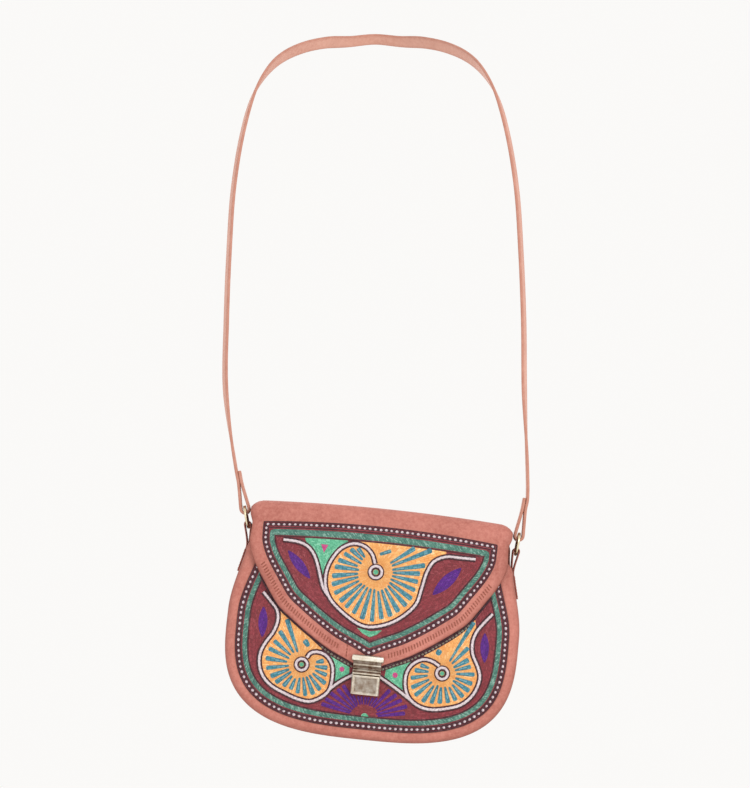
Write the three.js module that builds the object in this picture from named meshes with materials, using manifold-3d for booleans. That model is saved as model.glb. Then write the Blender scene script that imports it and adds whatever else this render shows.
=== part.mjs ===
// Crossbody bag of pink-brown leather with embroidered panels, in millimetres, +Z up, front facing -Y.
// It hangs by its strap, so the origin is the spot where the strap lies on the back of the neck.
import * as THREE from "three";
import { mergeVertices } from "three/addons/utils/BufferGeometryUtils.js";
import Module from "manifold-3d";

// Body
const bagWidth = 300; // across the widest part
const bagHeight = 237; // from the lowest point to the top of the flap
const waistHeight = 112; // height of the widest part
const cornerPower = 3; // exponent of the superellipse that rounds the bottom
const leanStart = 6; // how far above the waist the sides start to lean in
const leanEnd = 12; // how far above the front panel's top edge they stop
const mouthWidth = 270; // across the sides there
const bodyDepth = 56; // front to back near the bottom
const mouthDepth = 46; // front to back at the mouth
const fullDepthShare = 0.3; // share of the front's height that keeps the full depth
const frontBulge = 5; // how far the front panel domes out
const domeReach = 0.6; // share of the front's height over which the dome dies out
const frontDrop = 41; // from the fold's top down to the front panel's top edge
const backDrop = 15; // from the fold's top down to the back panel's top edge
const topCorner = 16; // radius of the panels' top corners
const panelWall = 2.4;
const edgeRoll = 6; // radius of the rounded edge of both panels
const seamLip = 3; // how far the panels reach over the gusset
const fitGap = 0.3; // clearance between pieces that touch

// Gusset
const gussetWall = 2.2;
const gussetDrop = 10; // from the front panel's top edge down to the gusset's ends
const gussetBulge = 1.2; // how far it swells between its seams
const bottomBulgeShare = 0.3; // share of that swelling under the bag

// Embroidered patches, each in a shallow recess of the leather
const patchWall = 1.2;
const recessDepth = 1;
const frontRim = 11; // leather left round the front patch
const frontRimTop = 15; // the same beside the flap, higher up
const flapRim = 14; // leather left beside the flap's patch
const flapTopRim = 20; // leather left above it, measured from the fold
const flapWindowCrown = 3.5; // how far the patch's top edge arches

// Flap
const flapWidth = 269;
const flapLength = 166; // from the fold's top down to the tip
const flapOffset = -2; // the flap sits a little to one side
const flapWall = 2.6;
const flapCrown = 4.6; // how far the fold drops towards the corners
const crownFade = 47; // how far down the front that drop dies out
const flapShoulder = 14; // radius of the fold's two ends
const shoulderTurn = 1; // angle in radians through which the ends bend down
const frontFold = 14; // radius of the fold at the front
const rearFold = 12; // radius of the fold at the back
const flapRear = 36; // how far the flap reaches down the back
const flapLift = 2.2; // how far its side edges stand off the front
const liftReach = 97; // distance from the middle at which it has lifted fully

// Rings and their tabs
const ringOuter = 25;
const ringWire = 3;
const ringAside = 4.5; // from the side of the mouth out to a ring's lowest point
const ringAbove = 18; // from the gusset's end up to that point
const ringLean = THREE.MathUtils.degToRad(11); // outward lean of the hanging rings
const tabWall = 1.5;
const tabWidth = 15;
const tabLoop = 2.4; // inner radius of the tab's loop
const tabSeam = 28; // length of the tab that is sewn on the gusset
const tabStep = 2; // how much shorter its inner layer is

// Strap
const strapWidth = 15;
const strapWall = 3;
const strapLoop = 2.7; // inner radius of the strap's loop round a ring
const foldBack = 40; // length of the end that is sewn back on the strap
const foldMeet = 28; // height above the ring where the two layers meet
const napeHeight = 680; // from the middle of the bag up to the neck
const napeBehind = 190; // from the bag's back plane back to the neck
const strapSpread = 158; // half the widest distance between its two runs
const napeRoll = THREE.MathUtils.degToRad(35); // lean of the strap where it lies on the neck
const rollShare = 0.2; // share of napeHeight below the neck over which it leans
const strapTurn = THREE.MathUtils.degToRad(18); // turn that shows its outer face above the folded ends
const turnLength = 90; // height over which it takes that turn
const hangSide = -1.5; // sideways place of the bag's middle below the neck
const hangTilt = THREE.MathUtils.degToRad(5.8); // the bag hangs with its right side lower

// Lock of cast brass: a plate on the flap's tip, a housing on the front and a sliding face
const barAboveTip = 14.6; // from the flap's tip up to the top of the bar
const barWidth = 32.4;
const barHeight = 6.6;
const barDepth = 5;
const lockWidth = 28.6;
const lockHeight = 40; // from the bar's top edge to the housing's lower edge
const neckDepth = 3;
const neckAboveTip = 0.8;
const tongueWidth = 20;
const tongueWall = 2;
const tongueLength = 5;
const collarHeight = 5.3;
const basePlate = 2.2;
const collarDepth = 8.6;
const slideWidth = 27;
const slideDepth = 5.6;
const bevel = 1.2;

// The route of one side of the strap from the bag to the neck: height as a share of napeHeight,
// side as a share of strapSpread, and depth as a share of the way from the rings back to the neck.
const strapRoute = [
  { height: 0.36, side: 1.0, depth: 0.09 },
  { height: 0.47, side: 1.0, depth: 0.1 },
  { height: 0.58, side: 0.985, depth: 0.1 },
  { height: 0.68, side: 0.96, depth: 0.11 },
  { height: 0.77, side: 0.905, depth: 0.14 },
  { height: 0.84, side: 0.835, depth: 0.21 },
  { height: 0.885, side: 0.755, depth: 0.31 },
  { height: 0.92, side: 0.66, depth: 0.44 },
  { height: 0.952, side: 0.52, depth: 0.61 },
  { height: 0.975, side: 0.36, depth: 0.77 },
  { height: 0.993, side: 0.185, depth: 0.95 },
];

// The flap's side edge from its tip to the fold: drop as a share of flapLength, half as a share of
// half the flap's width.
const flapEdge = [
  { drop: 1.0, half: 0.03 },
  { drop: 0.952, half: 0.156 },
  { drop: 0.898, half: 0.305 },
  { drop: 0.825, half: 0.454 },
  { drop: 0.741, half: 0.602 },
  { drop: 0.663, half: 0.721 },
  { drop: 0.548, half: 0.825 },
  { drop: 0.416, half: 0.932 },
  { drop: 0.3, half: 0.988 },
  { drop: 0.2, half: 1.0 },
  { drop: 0.11, half: 1.0 },
];

// Heights and places that follow from the sizes above
const frontTop = bagHeight - frontDrop;
const backTop = bagHeight - backDrop;
const gussetTop = frontTop - gussetDrop;
const flapTip = bagHeight - flapLength;
const foldUnder = bagHeight - flapWall; // height of the fold's under side
const frontFoldStart = foldUnder - frontFold;
const rearFoldStart = foldUnder - rearFold;
const patchProud = patchWall + fitGap - recessDepth;
const gussetInset = panelWall + fitGap;

const wasm = await Module();
wasm.setup();

const leather = new THREE.MeshStandardMaterial({ color: 0xc47a68, roughness: 0.62 });
const strapLeather = new THREE.MeshStandardMaterial({ color: 0xd3a090, roughness: 0.6 });
const embroidery = new THREE.MeshStandardMaterial({ color: 0x8c3b45, roughness: 0.9 });
const brass = new THREE.MeshStandardMaterial({ color: 0xb59c74, roughness: 0.32, metalness: 1 });

const lerp = THREE.MathUtils.lerp;
const smoothstep = THREE.MathUtils.smoothstep;

// Closed geometry from points and triangles, turned so that its faces point out.
function closedGeometry(points, triangles) {
  const positions = triangles.flatMap((corner) => points[corner].toArray());
  const soup = new THREE.BufferGeometry();
  soup.setAttribute("position", new THREE.Float32BufferAttribute(positions, 3));
  const merged = mergeVertices(soup, 1e-4);
  const index = merged.index.array;
  const at = merged.attributes.position;
  const kept = [];
  const corners = [new THREE.Vector3(), new THREE.Vector3(), new THREE.Vector3()];
  let volume = 0;
  for (let i = 0; i < index.length; i += 3) {
    const [a, b, c] = [index[i], index[i + 1], index[i + 2]];
    if (a === b || b === c || c === a) continue;
    corners.forEach((corner, n) => corner.fromBufferAttribute(at, index[i + n]));
    volume += corners[0].dot(corners[1].clone().cross(corners[2]));
    kept.push(a, b, c);
  }
  if (volume < 0) kept.reverse();
  merged.setIndex(kept);
  return merged;
}

// Two triangles for each cell between two rows of point numbers; a wrapped row closes on itself.
function weave(rowA, rowB, wrapped) {
  const triangles = [];
  const cells = wrapped ? rowA.length : rowA.length - 1;
  for (let i = 0; i < cells; i++) {
    const next = (i + 1) % rowA.length;
    triangles.push(rowA[i], rowB[i], rowB[next], rowA[i], rowB[next], rowA[next]);
  }
  return triangles;
}

// A solid lofted through closed loops of points, with a fan over the first and the last.
function loftSolid(loops) {
  const points = loops.flat();
  const size = loops[0].length;
  const row = (k) => Array.from({ length: size }, (_, i) => k * size + i);
  const triangles = [];
  for (let k = 0; k + 1 < loops.length; k++) triangles.push(...weave(row(k), row(k + 1), true));
  for (const [k, forward] of [[0, true], [loops.length - 1, false]]) {
    const middle = new THREE.Vector3();
    loops[k].forEach((point) => middle.addScaledVector(point, 1 / size));
    points.push(middle);
    const hub = Array(size).fill(points.length - 1);
    triangles.push(...(forward ? weave(hub, row(k), true) : weave(row(k), hub, true)));
  }
  return closedGeometry(points, triangles);
}

// A solid sheet between two grids of points with the same rows and columns.
function sheetSolid(lower, upper) {
  const rows = lower.length;
  const columns = lower[0].length;
  const points = [...lower.flat(), ...upper.flat()];
  const low = (r) => Array.from({ length: columns }, (_, c) => r * columns + c);
  const high = (r) => low(r + rows);
  const column = (c, shift) => Array.from({ length: rows }, (_, r) => (r + shift) * columns + c);
  const triangles = [];
  for (let r = 0; r + 1 < rows; r++) {
    triangles.push(...weave(low(r), low(r + 1), false), ...weave(high(r + 1), high(r), false));
  }
  triangles.push(...weave(high(0), low(0), false), ...weave(low(rows - 1), high(rows - 1), false));
  triangles.push(...weave(column(0, 0), column(0, rows), false));
  triangles.push(...weave(column(columns - 1, rows), column(columns - 1, 0), false));
  return closedGeometry(points, triangles);
}

function toManifold(geometry) {
  const bare = new THREE.BufferGeometry();
  bare.setAttribute("position", geometry.getAttribute("position"));
  if (geometry.index) bare.setIndex(geometry.index);
  const merged = mergeVertices(bare, 1e-4);
  return new wasm.Manifold(
    new wasm.Mesh({
      numProp: 3,
      vertProperties: new Float32Array(merged.attributes.position.array),
      triVerts: new Uint32Array(merged.index.array),
    }),
  );
}

function fromManifold(solid) {
  const mesh = solid.getMesh();
  const geometry = new THREE.BufferGeometry();
  geometry.setAttribute("position", new THREE.Float32BufferAttribute(mesh.vertProperties, 3));
  geometry.setIndex([...mesh.triVerts]);
  return geometry;
}

function addPiece(group, name, geometry, material) {
  const flat = geometry.index ? geometry.toNonIndexed() : geometry;
  flat.computeVertexNormals();
  const mesh = new THREE.Mesh(flat, material);
  mesh.name = name;
  group.add(mesh);
  return mesh;
}

// The body's outline

// Half the body's width at a height above the waist.
function sideAt(z) {
  const lean = smoothstep(z, waistHeight + leanStart, frontTop + leanEnd);
  return lerp(bagWidth / 2, mouthWidth / 2, lean);
}

// The right half of the outline, from the middle of the bottom up to a height.
function halfOutline(top) {
  const bottomSteps = 15;
  const sideSteps = 9;
  const points = [];
  for (let i = 0; i <= bottomSteps; i++) {
    const angle = ((i / bottomSteps) * Math.PI) / 2;
    points.push(
      new THREE.Vector2(
        (bagWidth / 2) * Math.sin(angle) ** (2 / cornerPower),
        waistHeight * (1 - Math.max(0, Math.cos(angle)) ** (2 / cornerPower)),
      ),
    );
  }
  for (let i = 1; i <= sideSteps; i++) {
    const z = lerp(waistHeight, top, i / sideSteps);
    points.push(new THREE.Vector2(sideAt(z), z));
  }
  return points;
}

// A whole panel outline as a closed loop with rounded top corners.
function panelOutline(top) {
  const cornerSteps = 4;
  const topSteps = 4;
  const half = halfOutline(top - topCorner);
  const inner = half.at(-1).x - topCorner;
  for (let i = 1; i <= cornerSteps; i++) {
    const angle = ((i / cornerSteps) * Math.PI) / 2;
    const x = inner + topCorner * Math.cos(angle);
    half.push(new THREE.Vector2(x, top - topCorner * (1 - Math.sin(angle))));
  }
  for (let i = 1; i <= topSteps; i++) half.push(new THREE.Vector2(inner * (1 - i / topSteps), top));
  const mirrored = half.slice(1, -1).map((point) => new THREE.Vector2(-point.x, point.y));
  return [...half, ...mirrored.reverse()];
}

// Points moved to the left of the way they run, which is inwards on an outline. The distance is a
// length or a function of the point.
function insetPoints(points, distance, closed) {
  const count = points.length;
  return points.map((point, i) => {
    const before = closed ? points[(i + count - 1) % count] : points[Math.max(i - 1, 0)];
    const after = closed ? points[(i + 1) % count] : points[Math.min(i + 1, count - 1)];
    const along = after.clone().sub(before).normalize();
    const by = typeof distance === "function" ? distance(point) : distance;
    return new THREE.Vector2(point.x - along.y * by, point.y + along.x * by);
  });
}

// How much the front domes at a spot, from 0 at the rim to 1.
function domeShare(x, z) {
  const middle = (frontTop + frontRim) / 2;
  const across = Math.min(1, Math.abs(x) / (bagWidth / 2)) ** 2;
  const up = Math.min(1, Math.abs(z - middle) / (frontTop * domeReach)) ** 2;
  return (1 - across) * (1 - up);
}

// Y of the front panel's leather face; the back panel's face is the plane y = 0.
function frontFace(x, z) {
  const depth = lerp(bodyDepth, mouthDepth, smoothstep(z, fullDepthShare * frontTop, frontTop));
  return -depth - frontBulge * domeShare(x, z);
}

// Panels

// One loop of a panel: inset from its outline, and set back from its face by a depth.
function panelLoop(outline, face, inset, depth, share = 1) {
  const middle = new THREE.Vector2(0, waistHeight);
  return insetPoints(outline, inset, true).map((point) => {
    const spot = middle.clone().lerp(point, share);
    return new THREE.Vector3(spot.x, face(spot.x, spot.y) + depth, spot.y);
  });
}

// A panel whose edge rolls round and reaches over the gusset; inward is +1 for the front, -1 for
// the back. The face's own loops come first, from the middle out.
function panelSolid(outline, face, inward, faceLoops) {
  const rollAngles = [0, 30, 60, 90].map(THREE.MathUtils.degToRad);
  const loop = (inset, depth, share) => panelLoop(outline, face, inset, inward * depth, share);
  const innerRoll = edgeRoll - panelWall;
  const loops = faceLoops(loop);
  for (const a of rollAngles) {
    loops.push(loop(edgeRoll * (1 - Math.sin(a)), edgeRoll * (1 - Math.cos(a))));
  }
  loops.push(loop(0, edgeRoll + seamLip));
  loops.push(loop(panelWall, edgeRoll + seamLip));
  for (const a of rollAngles.reverse()) {
    loops.push(loop(edgeRoll - innerRoll * Math.sin(a), edgeRoll - innerRoll * Math.cos(a)));
  }
  for (const share of [0.66, 0.33]) loops.push(loop(edgeRoll, panelWall, share));
  return loftSolid(loops);
}

const frontOutline = panelOutline(frontTop);
const backOutline = panelOutline(backTop);
const windowShares = [0.25, 0.5, 0.75, 1];

// Width of the leather round the front patch at a height.
function frontRimAt(z) {
  return lerp(frontRim, frontRimTop, smoothstep(z, waistHeight, frontTop));
}

function frontPanel() {
  const rim = (point) => frontRimAt(point.y);
  return panelSolid(frontOutline, frontFace, 1, (loop) => [
    ...windowShares.map((share) => loop(rim, recessDepth, share)),
    loop(rim, 0),
  ]);
}

function backPanel() {
  return panelSolid(backOutline, () => 0, -1, () => []);
}

// The patch that fills the front panel's recess and stands a little proud of the leather.
function frontPatch() {
  const inset = (point) => frontRimAt(point.y) + fitGap;
  const under = recessDepth - fitGap;
  const loop = (share, depth) => panelLoop(frontOutline, frontFace, inset, depth, share);
  const face = windowShares.map((share) => loop(share, under - patchWall));
  const back = windowShares.map((share) => loop(share, under)).reverse();
  return loftSolid([...face, ...back]);
}

// Gusset: one strip that follows the outline from the left side round the bottom to the right.

// How far the gusset swells out: across runs from its front edge, 0, to its back edge, 1.
function gussetSwell(across, z) {
  const seam = (seamLip + fitGap) / (mouthDepth - 2 * edgeRoll);
  const middle = smoothstep(across, seam, 0.5) * (1 - smoothstep(across, 0.5, 1 - seam));
  return gussetBulge * middle * lerp(bottomBulgeShare, 1, smoothstep(z, 0, waistHeight));
}

function gussetLine() {
  const right = halfOutline(gussetTop);
  const left = right.slice(1).map((point) => new THREE.Vector2(-point.x, point.y));
  return [...left.reverse(), ...right];
}

function gussetStrip() {
  const shares = [0, 0.12, 0.3, 0.5, 0.7, 0.88, 1];
  const line = gussetLine();
  const grid = (wall) => {
    const columns = shares.map((across) => {
      const swollen = (point) => gussetInset + wall - gussetSwell(across, point.y);
      return insetPoints(line, swollen, false).map((spot) => {
        const front = frontFace(spot.x, spot.y) + edgeRoll;
        return new THREE.Vector3(spot.x, lerp(front, -edgeRoll, across), spot.y);
      });
    });
    return line.map((_, i) => columns.map((column) => column[i]));
  };
  return sheetSolid(grid(0), grid(gussetWall));
}

// Flap: rows of points that run across it, from the tip up the front, over the fold, down the back.

function edgeCurve() {
  const points = flapEdge.map(
    ({ drop, half }) => new THREE.Vector2((half * flapWidth) / 2, bagHeight - drop * flapLength),
  );
  return new THREE.SplineCurve(points);
}

// How much of the fold's crown and rounded ends is felt at a height.
function crownShare(z) {
  return smoothstep(z, frontFoldStart - crownFade, frontFoldStart);
}

// A point of the flap's under side: across is in mm from its middle line, and edge is the half
// width there. place gives y and z before the fold's ends are rounded off. The last shoulderTurn
// radians of leather bend down round the shoulder.
function flapPoint(across, edge, place) {
  const flat = edge - shoulderTurn * flapShoulder;
  const over = Math.max(0, Math.abs(across) - flat) / flapShoulder;
  const base = place(across);
  const share = crownShare(base.z);
  const round = lerp(over, Math.sin(over), share) - over;
  const drop = flapCrown * ((2 * across) / flapWidth) ** 2 + flapShoulder * (1 - Math.cos(over));
  const x = across + Math.sign(across) * round * flapShoulder + flapOffset;
  return new THREE.Vector3(x, base.y, base.z - drop * share);
}

// The flap's under side rests on the front patch at its tip and lifts towards its side edges.
function restOnFront(across, z) {
  const lift = flapLift * Math.min(1, Math.abs(across) / liftReach) ** 2;
  return frontFace(across + flapOffset, z) - patchProud - fitGap - lift;
}

// Rows of the flap: each has its half width and the place of its points.
function flapRows() {
  const rows = [];
  const curve = edgeCurve();
  const edgeSteps = 22;
  for (let i = 0; i <= edgeSteps; i++) {
    const spot = curve.getPoint(i / edgeSteps);
    rows.push({ half: spot.x, place: (across) => ({ y: restOnFront(across, spot.y), z: spot.y }) });
  }
  const half = flapWidth / 2 + flapShoulder * (shoulderTurn - Math.sin(shoulderTurn));
  const foldSteps = 4;
  for (let i = 0; i <= foldSteps; i++) {
    const angle = ((i / foldSteps) * Math.PI) / 2;
    const z = frontFoldStart + frontFold * Math.sin(angle);
    const y = (across) => restOnFront(across, frontFoldStart) + frontFold * (1 - Math.cos(angle));
    rows.push({ half, place: (across) => ({ y: y(across), z }) });
  }
  for (let i = 0; i <= foldSteps; i++) {
    const angle = ((i / foldSteps) * Math.PI) / 2;
    const y = fitGap - rearFold * (1 - Math.sin(angle));
    const z = rearFoldStart + rearFold * Math.cos(angle);
    rows.push({ half, place: () => ({ y, z }) });
  }
  rows.push({ half: flapWidth / 2, place: () => ({ y: fitGap, z: foldUnder - flapRear }) });
  return rows;
}

// The two grids of a sheet that lies on rows: one lifted by low and one by high.
function liftedGrids(rows, shares, low, high) {
  const base = rows.map(({ half, place, edge }) =>
    shares.map((share) => flapPoint(share * half, edge ?? half, place)),
  );
  const lifted = (height) =>
    base.map((row, r) =>
      row.map((point, c) => {
        const down = base[Math.max(r - 1, 0)][c];
        const up = base[Math.min(r + 1, base.length - 1)][c];
        const left = row[Math.max(c - 1, 0)];
        const right = row[Math.min(c + 1, row.length - 1)];
        const normal = right.clone().sub(left).cross(up.clone().sub(down)).normalize();
        return point.clone().addScaledVector(normal, height);
      }),
    );
  return [lifted(low), lifted(high)];
}

const flapShares = [-1, -0.95, -0.88, -0.76, -0.5, -0.25, 0, 0.25, 0.5, 0.76, 0.88, 0.95, 1];
const windowColumns = [-1, -0.8, -0.6, -0.4, -0.2, 0, 0.2, 0.4, 0.6, 0.8, 1];

// Rows of the flap's window, whose edge keeps a margin to the flap's own edge.
function windowRows(margin, topMargin) {
  const curve = edgeCurve();
  const steps = 60;
  const edge = Array.from({ length: steps + 1 }, (_, i) => curve.getPoint(i / steps));
  const side = insetPoints(edge, margin, false).filter((point) => point.x > 0);
  const top = bagHeight - topMargin;
  const halfAt = (z) => {
    const i = side.findIndex((point) => point.y > z);
    if (i < 1) return side[0].x;
    return lerp(side[i - 1].x, side[i].x, (z - side[i - 1].y) / (side[i].y - side[i - 1].y));
  };
  const count = 16;
  return Array.from({ length: count + 1 }, (_, i) => {
    const z = lerp(side[0].y + 0.5, top, (i / count) ** 1.15);
    const half = halfAt(z);
    const sag = (across) => flapWindowCrown * ((2 * across) / flapWidth) ** 2 * (i / count) ** 4;
    const place = (across) => ({ y: restOnFront(across, z - sag(across)), z: z - sag(across) });
    return { half, edge: flapWidth / 2, place };
  });
}

function flapLeather() {
  const [under, face] = liftedGrids(flapRows(), flapShares, 0, flapWall);
  const whole = toManifold(sheetSolid(under, face));
  const rows = windowRows(flapRim, flapTopRim);
  const [floor, above] = liftedGrids(rows, windowColumns, flapWall - recessDepth, 2 * flapWall);
  return fromManifold(whole.subtract(toManifold(sheetSolid(floor, above))));
}

function flapPatch() {
  const rows = windowRows(flapRim + fitGap, flapTopRim + fitGap);
  const seat = flapWall - recessDepth + fitGap;
  const [under, face] = liftedGrids(rows, windowColumns, seat, seat + patchWall);
  return sheetSolid(under, face);
}

// Ribbons: a flat strip whose cross sections stand across a path.

function ribbonSolid(frames, width, wall) {
  const loops = frames.map(({ spot, flat, normal }) =>
    [[-1, -1], [1, -1], [1, 1], [-1, 1]].map(([across, up]) =>
      spot
        .clone()
        .addScaledVector(flat, (across * width) / 2)
        .addScaledVector(normal, (up * wall) / 2),
    ),
  );
  return loftSolid(loops);
}

// Frames along a curve whose flat side stays as near to front-to-back as the path lets it.
function ribbonFrames(points, steps, rollAt) {
  const curve = new THREE.CatmullRomCurve3(points, false, "centripetal");
  const frontToBack = new THREE.Vector3(0, 1, 0);
  return Array.from({ length: steps + 1 }, (_, i) => {
    const share = i / steps;
    const spot = curve.getPoint(share);
    const along = curve.getTangent(share).normalize();
    const flat = frontToBack.clone().addScaledVector(along, -frontToBack.dot(along)).normalize();
    flat.applyAxisAngle(along, rollAt(spot));
    return { spot, flat, normal: along.clone().cross(flat) };
  });
}

// Half a turn of points round a centre, from the -out side over the far end to the +out side.
function halfTurn(centre, out, far, radius) {
  const turnSteps = 6;
  return Array.from({ length: turnSteps + 1 }, (_, i) => {
    const angle = (i / turnSteps) * Math.PI;
    return centre
      .clone()
      .addScaledVector(out, -radius * Math.cos(angle))
      .addScaledVector(far, radius * Math.sin(angle));
  });
}

// Groups: the bag hangs tilted below the neck.

const root = new THREE.Group();
const hang = new THREE.Group();
hang.position.set(hangSide, -napeBehind, -napeHeight);
hang.rotation.y = hangTilt;
root.add(hang);
const bag = new THREE.Group();
bag.position.z = -bagHeight / 2;
hang.add(bag);
root.updateMatrixWorld(true);

addPiece(bag, "back_panel", backPanel(), leather);
addPiece(bag, "gusset", gussetStrip(), leather);
addPiece(bag, "front_panel", frontPanel(), leather);
addPiece(bag, "front_embroidery", frontPatch(), embroidery);
addPiece(bag, "flap", flapLeather(), leather);
addPiece(bag, "flap_embroidery", flapPatch(), embroidery);

// Rings, tabs and the ends of the strap

const ringRadius = (ringOuter - ringWire) / 2;
const tabMiddle = -(mouthDepth + frontBulge / 2) / 2; // y of the rings, tabs and strap ends

// How far a ring's wire rises, inside a band of a given width, from its centre line's far end.
function wireRise(width) {
  return ringRadius - Math.sqrt((ringRadius - ringWire / 2) ** 2 - (width / 2) ** 2);
}

// The ring's lowest point, its upward direction and the direction out of the bag, in the bag's frame.
function ringPlace(side) {
  const lean = ringLean - side * hangTilt;
  const up = new THREE.Vector3(side * Math.sin(lean), 0, Math.cos(lean));
  const out = new THREE.Vector3(side * Math.cos(lean), 0, -Math.sin(lean));
  const aside = mouthWidth / 2 + ringAside;
  const foot = new THREE.Vector3(side * aside, tabMiddle, gussetTop + ringAbove);
  return { foot, up, out };
}

function ringSolid(side) {
  const { foot, up, out } = ringPlace(side);
  const ring = new THREE.TorusGeometry(ringRadius, ringWire / 2, 6, 24);
  const frame = new THREE.Matrix4().makeBasis(new THREE.Vector3(0, side, 0), up, out);
  const centre = foot.clone().addScaledVector(up, ringRadius);
  ring.applyMatrix4(frame.setPosition(centre));
  return fromManifold(toManifold(ring));
}

const tabSteps = 40;
const strapSteps = 190;

// X of the gusset's outer face in the middle of its depth.
function gussetFace(z) {
  return sideAt(z) - gussetInset + gussetSwell(0.5, z);
}

// A tab folded over the ring: its inner layer lies on the gusset and the outer layer on the inner.
function tabSolid(side) {
  const { foot, up, out } = ringPlace(side);
  const layer = tabWall + fitGap;
  const legPoints = (shift, low) => {
    const heights = [low, lerp(low, gussetTop, 0.33), lerp(low, gussetTop, 0.66), gussetTop];
    const x = (z) => side * (gussetFace(z) + 2 * fitGap + tabWall / 2 + shift);
    return heights.map((z) => new THREE.Vector3(x(z), tabMiddle, z));
  };
  const reach = wireRise(tabWidth) + fitGap - tabLoop;
  const centre = foot.clone().addScaledVector(up, reach);
  const loop = halfTurn(centre, out, up, tabLoop + tabWall / 2);
  const tabFoot = gussetTop - tabSeam;
  const path = [...legPoints(0, tabFoot + tabStep), ...loop, ...legPoints(layer, tabFoot).reverse()];
  return ribbonSolid(ribbonFrames(path, tabSteps, () => 0), tabWidth, tabWall);
}

for (const [side, hand] of [[-1, "left"], [1, "right"]]) {
  addPiece(bag, "tab_" + hand, tabSolid(side), leather);
  addPiece(bag, "ring_" + hand, ringSolid(side), brass);
}

// One end of the strap: folded back inside, round the ring and up the outside.
function strapEnd(side) {
  const { foot, up, out } = ringPlace(side);
  const top = foot.clone().addScaledVector(up, 2 * ringRadius);
  const reach = wireRise(strapWidth) + fitGap - strapLoop;
  const centre = bag.localToWorld(top.addScaledVector(up, -reach));
  const upWorld = up.clone().transformDirection(bag.matrixWorld);
  const outWorld = out.clone().transformDirection(bag.matrixWorld);
  const half = (strapWall + fitGap) / 2;
  const at = (aside, height) =>
    centre.clone().addScaledVector(outWorld, aside).addScaledVector(upWorld, height);
  const turn = halfTurn(centre, outWorld, upWorld.clone().negate(), strapLoop + strapWall / 2);
  return [at(-half, foldBack), at(-half, foldMeet), ...turn, at(half, foldMeet), at(half, foldBack)];
}

// The whole path of the strap, from one end over the neck to the other.
function strapPath() {
  const ringBehind = napeBehind - tabMiddle;
  const lift = strapWall / 2;
  const nape = new THREE.Vector3(0, lift * Math.sin(napeRoll), lift * Math.cos(napeRoll));
  const run = (side) => [
    ...strapEnd(side),
    ...strapRoute.map(
      ({ height, side: share, depth }) =>
        new THREE.Vector3(
          side * share * strapSpread,
          -(1 - depth) * ringBehind,
          -(1 - height) * napeHeight,
        ),
    ),
  ];
  return [...run(-1), nape, ...run(1).reverse()];
}

// Height of the upper one of the strap's two folded ends; the tilt lifts it above the other one.
const foldTop =
  gussetTop + ringAbove + ringOuter + foldBack - bagHeight / 2 + (mouthWidth / 2) * Math.sin(hangTilt);

// Above its folded ends the strap turns its outer face a little to the front, and over its highest
// part it leans on the neck instead.
function strapRoll(spot) {
  const turned = smoothstep(spot.z, foldTop - napeHeight, foldTop + turnLength - napeHeight);
  const leaning = smoothstep(spot.z, -rollShare * napeHeight, 0);
  return lerp(strapTurn * turned, -napeRoll, leaning);
}

const strapFrames = ribbonFrames(strapPath(), strapSteps, strapRoll);
addPiece(root, "strap", ribbonSolid(strapFrames, strapWidth, strapWall), strapLeather);

// Lock

// A block with bevelled front edges: its back at y, reaching forward by depth.
function bevelledBlock(width, low, high, y, depth, edge) {
  const shape = new THREE.Shape();
  const half = width / 2 - edge;
  shape.moveTo(-half, low + edge);
  shape.lineTo(half, low + edge);
  shape.lineTo(half, high - edge);
  shape.lineTo(-half, high - edge);
  shape.closePath();
  const block = new THREE.ExtrudeGeometry(shape, {
    depth: depth - 2 * edge,
    bevelThickness: edge,
    bevelSize: edge,
    bevelSegments: 1,
  });
  block.translate(0, 0, edge);
  block.rotateX(Math.PI / 2);
  block.translate(flapOffset, y, 0);
  return toManifold(block);
}

const lockTop = flapTip + barAboveTip;
const lockFoot = lockTop - lockHeight;
const collarTop = flapTip - fitGap;
const collarFoot = collarTop - collarHeight;
const lockMiddle = (lockTop + lockFoot) / 2;
const lockSeat = frontFace(flapOffset, lockMiddle) - patchProud - fitGap;
const plateSeat = restOnFront(0, lockMiddle) - flapWall - 2 * fitGap;

function lockPlate() {
  const bar = bevelledBlock(barWidth, lockTop - barHeight, lockTop, plateSeat, barDepth, bevel);
  const neckTop = lockTop - barHeight / 2;
  const neckFoot = flapTip + neckAboveTip;
  const neck = bevelledBlock(lockWidth, neckFoot, neckTop, plateSeat, neckDepth, bevel / 2);
  const tongueFoot = collarTop - tongueLength + fitGap;
  const tongue = bevelledBlock(tongueWidth, tongueFoot, neckTop, plateSeat, tongueWall, bevel / 4);
  return fromManifold(bar.add(neck).add(tongue));
}

function lockHousing() {
  const plate = bevelledBlock(lockWidth, lockFoot, collarTop, lockSeat, basePlate, bevel / 4);
  const collar = bevelledBlock(lockWidth, collarFoot, collarTop, lockSeat, collarDepth, bevel / 2);
  const slotFoot = collarTop - tongueLength;
  const slotBack = plateSeat + fitGap;
  const slotDepth = tongueWall + 2 * fitGap;
  const slot = bevelledBlock(
    tongueWidth + 2 * fitGap, slotFoot, 2 * collarTop - slotFoot, slotBack, slotDepth, bevel / 4,
  );
  return fromManifold(plate.add(collar).subtract(slot));
}

function lockFace() {
  const back = lockSeat - basePlate - fitGap;
  return fromManifold(
    bevelledBlock(slideWidth, lockFoot, collarFoot - fitGap, back, slideDepth, bevel),
  );
}

addPiece(bag, "lock_plate", lockPlate(), brass);
addPiece(bag, "lock_housing", lockHousing(), brass);
addPiece(bag, "lock_slide", lockFace(), brass);

export default root;
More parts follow.
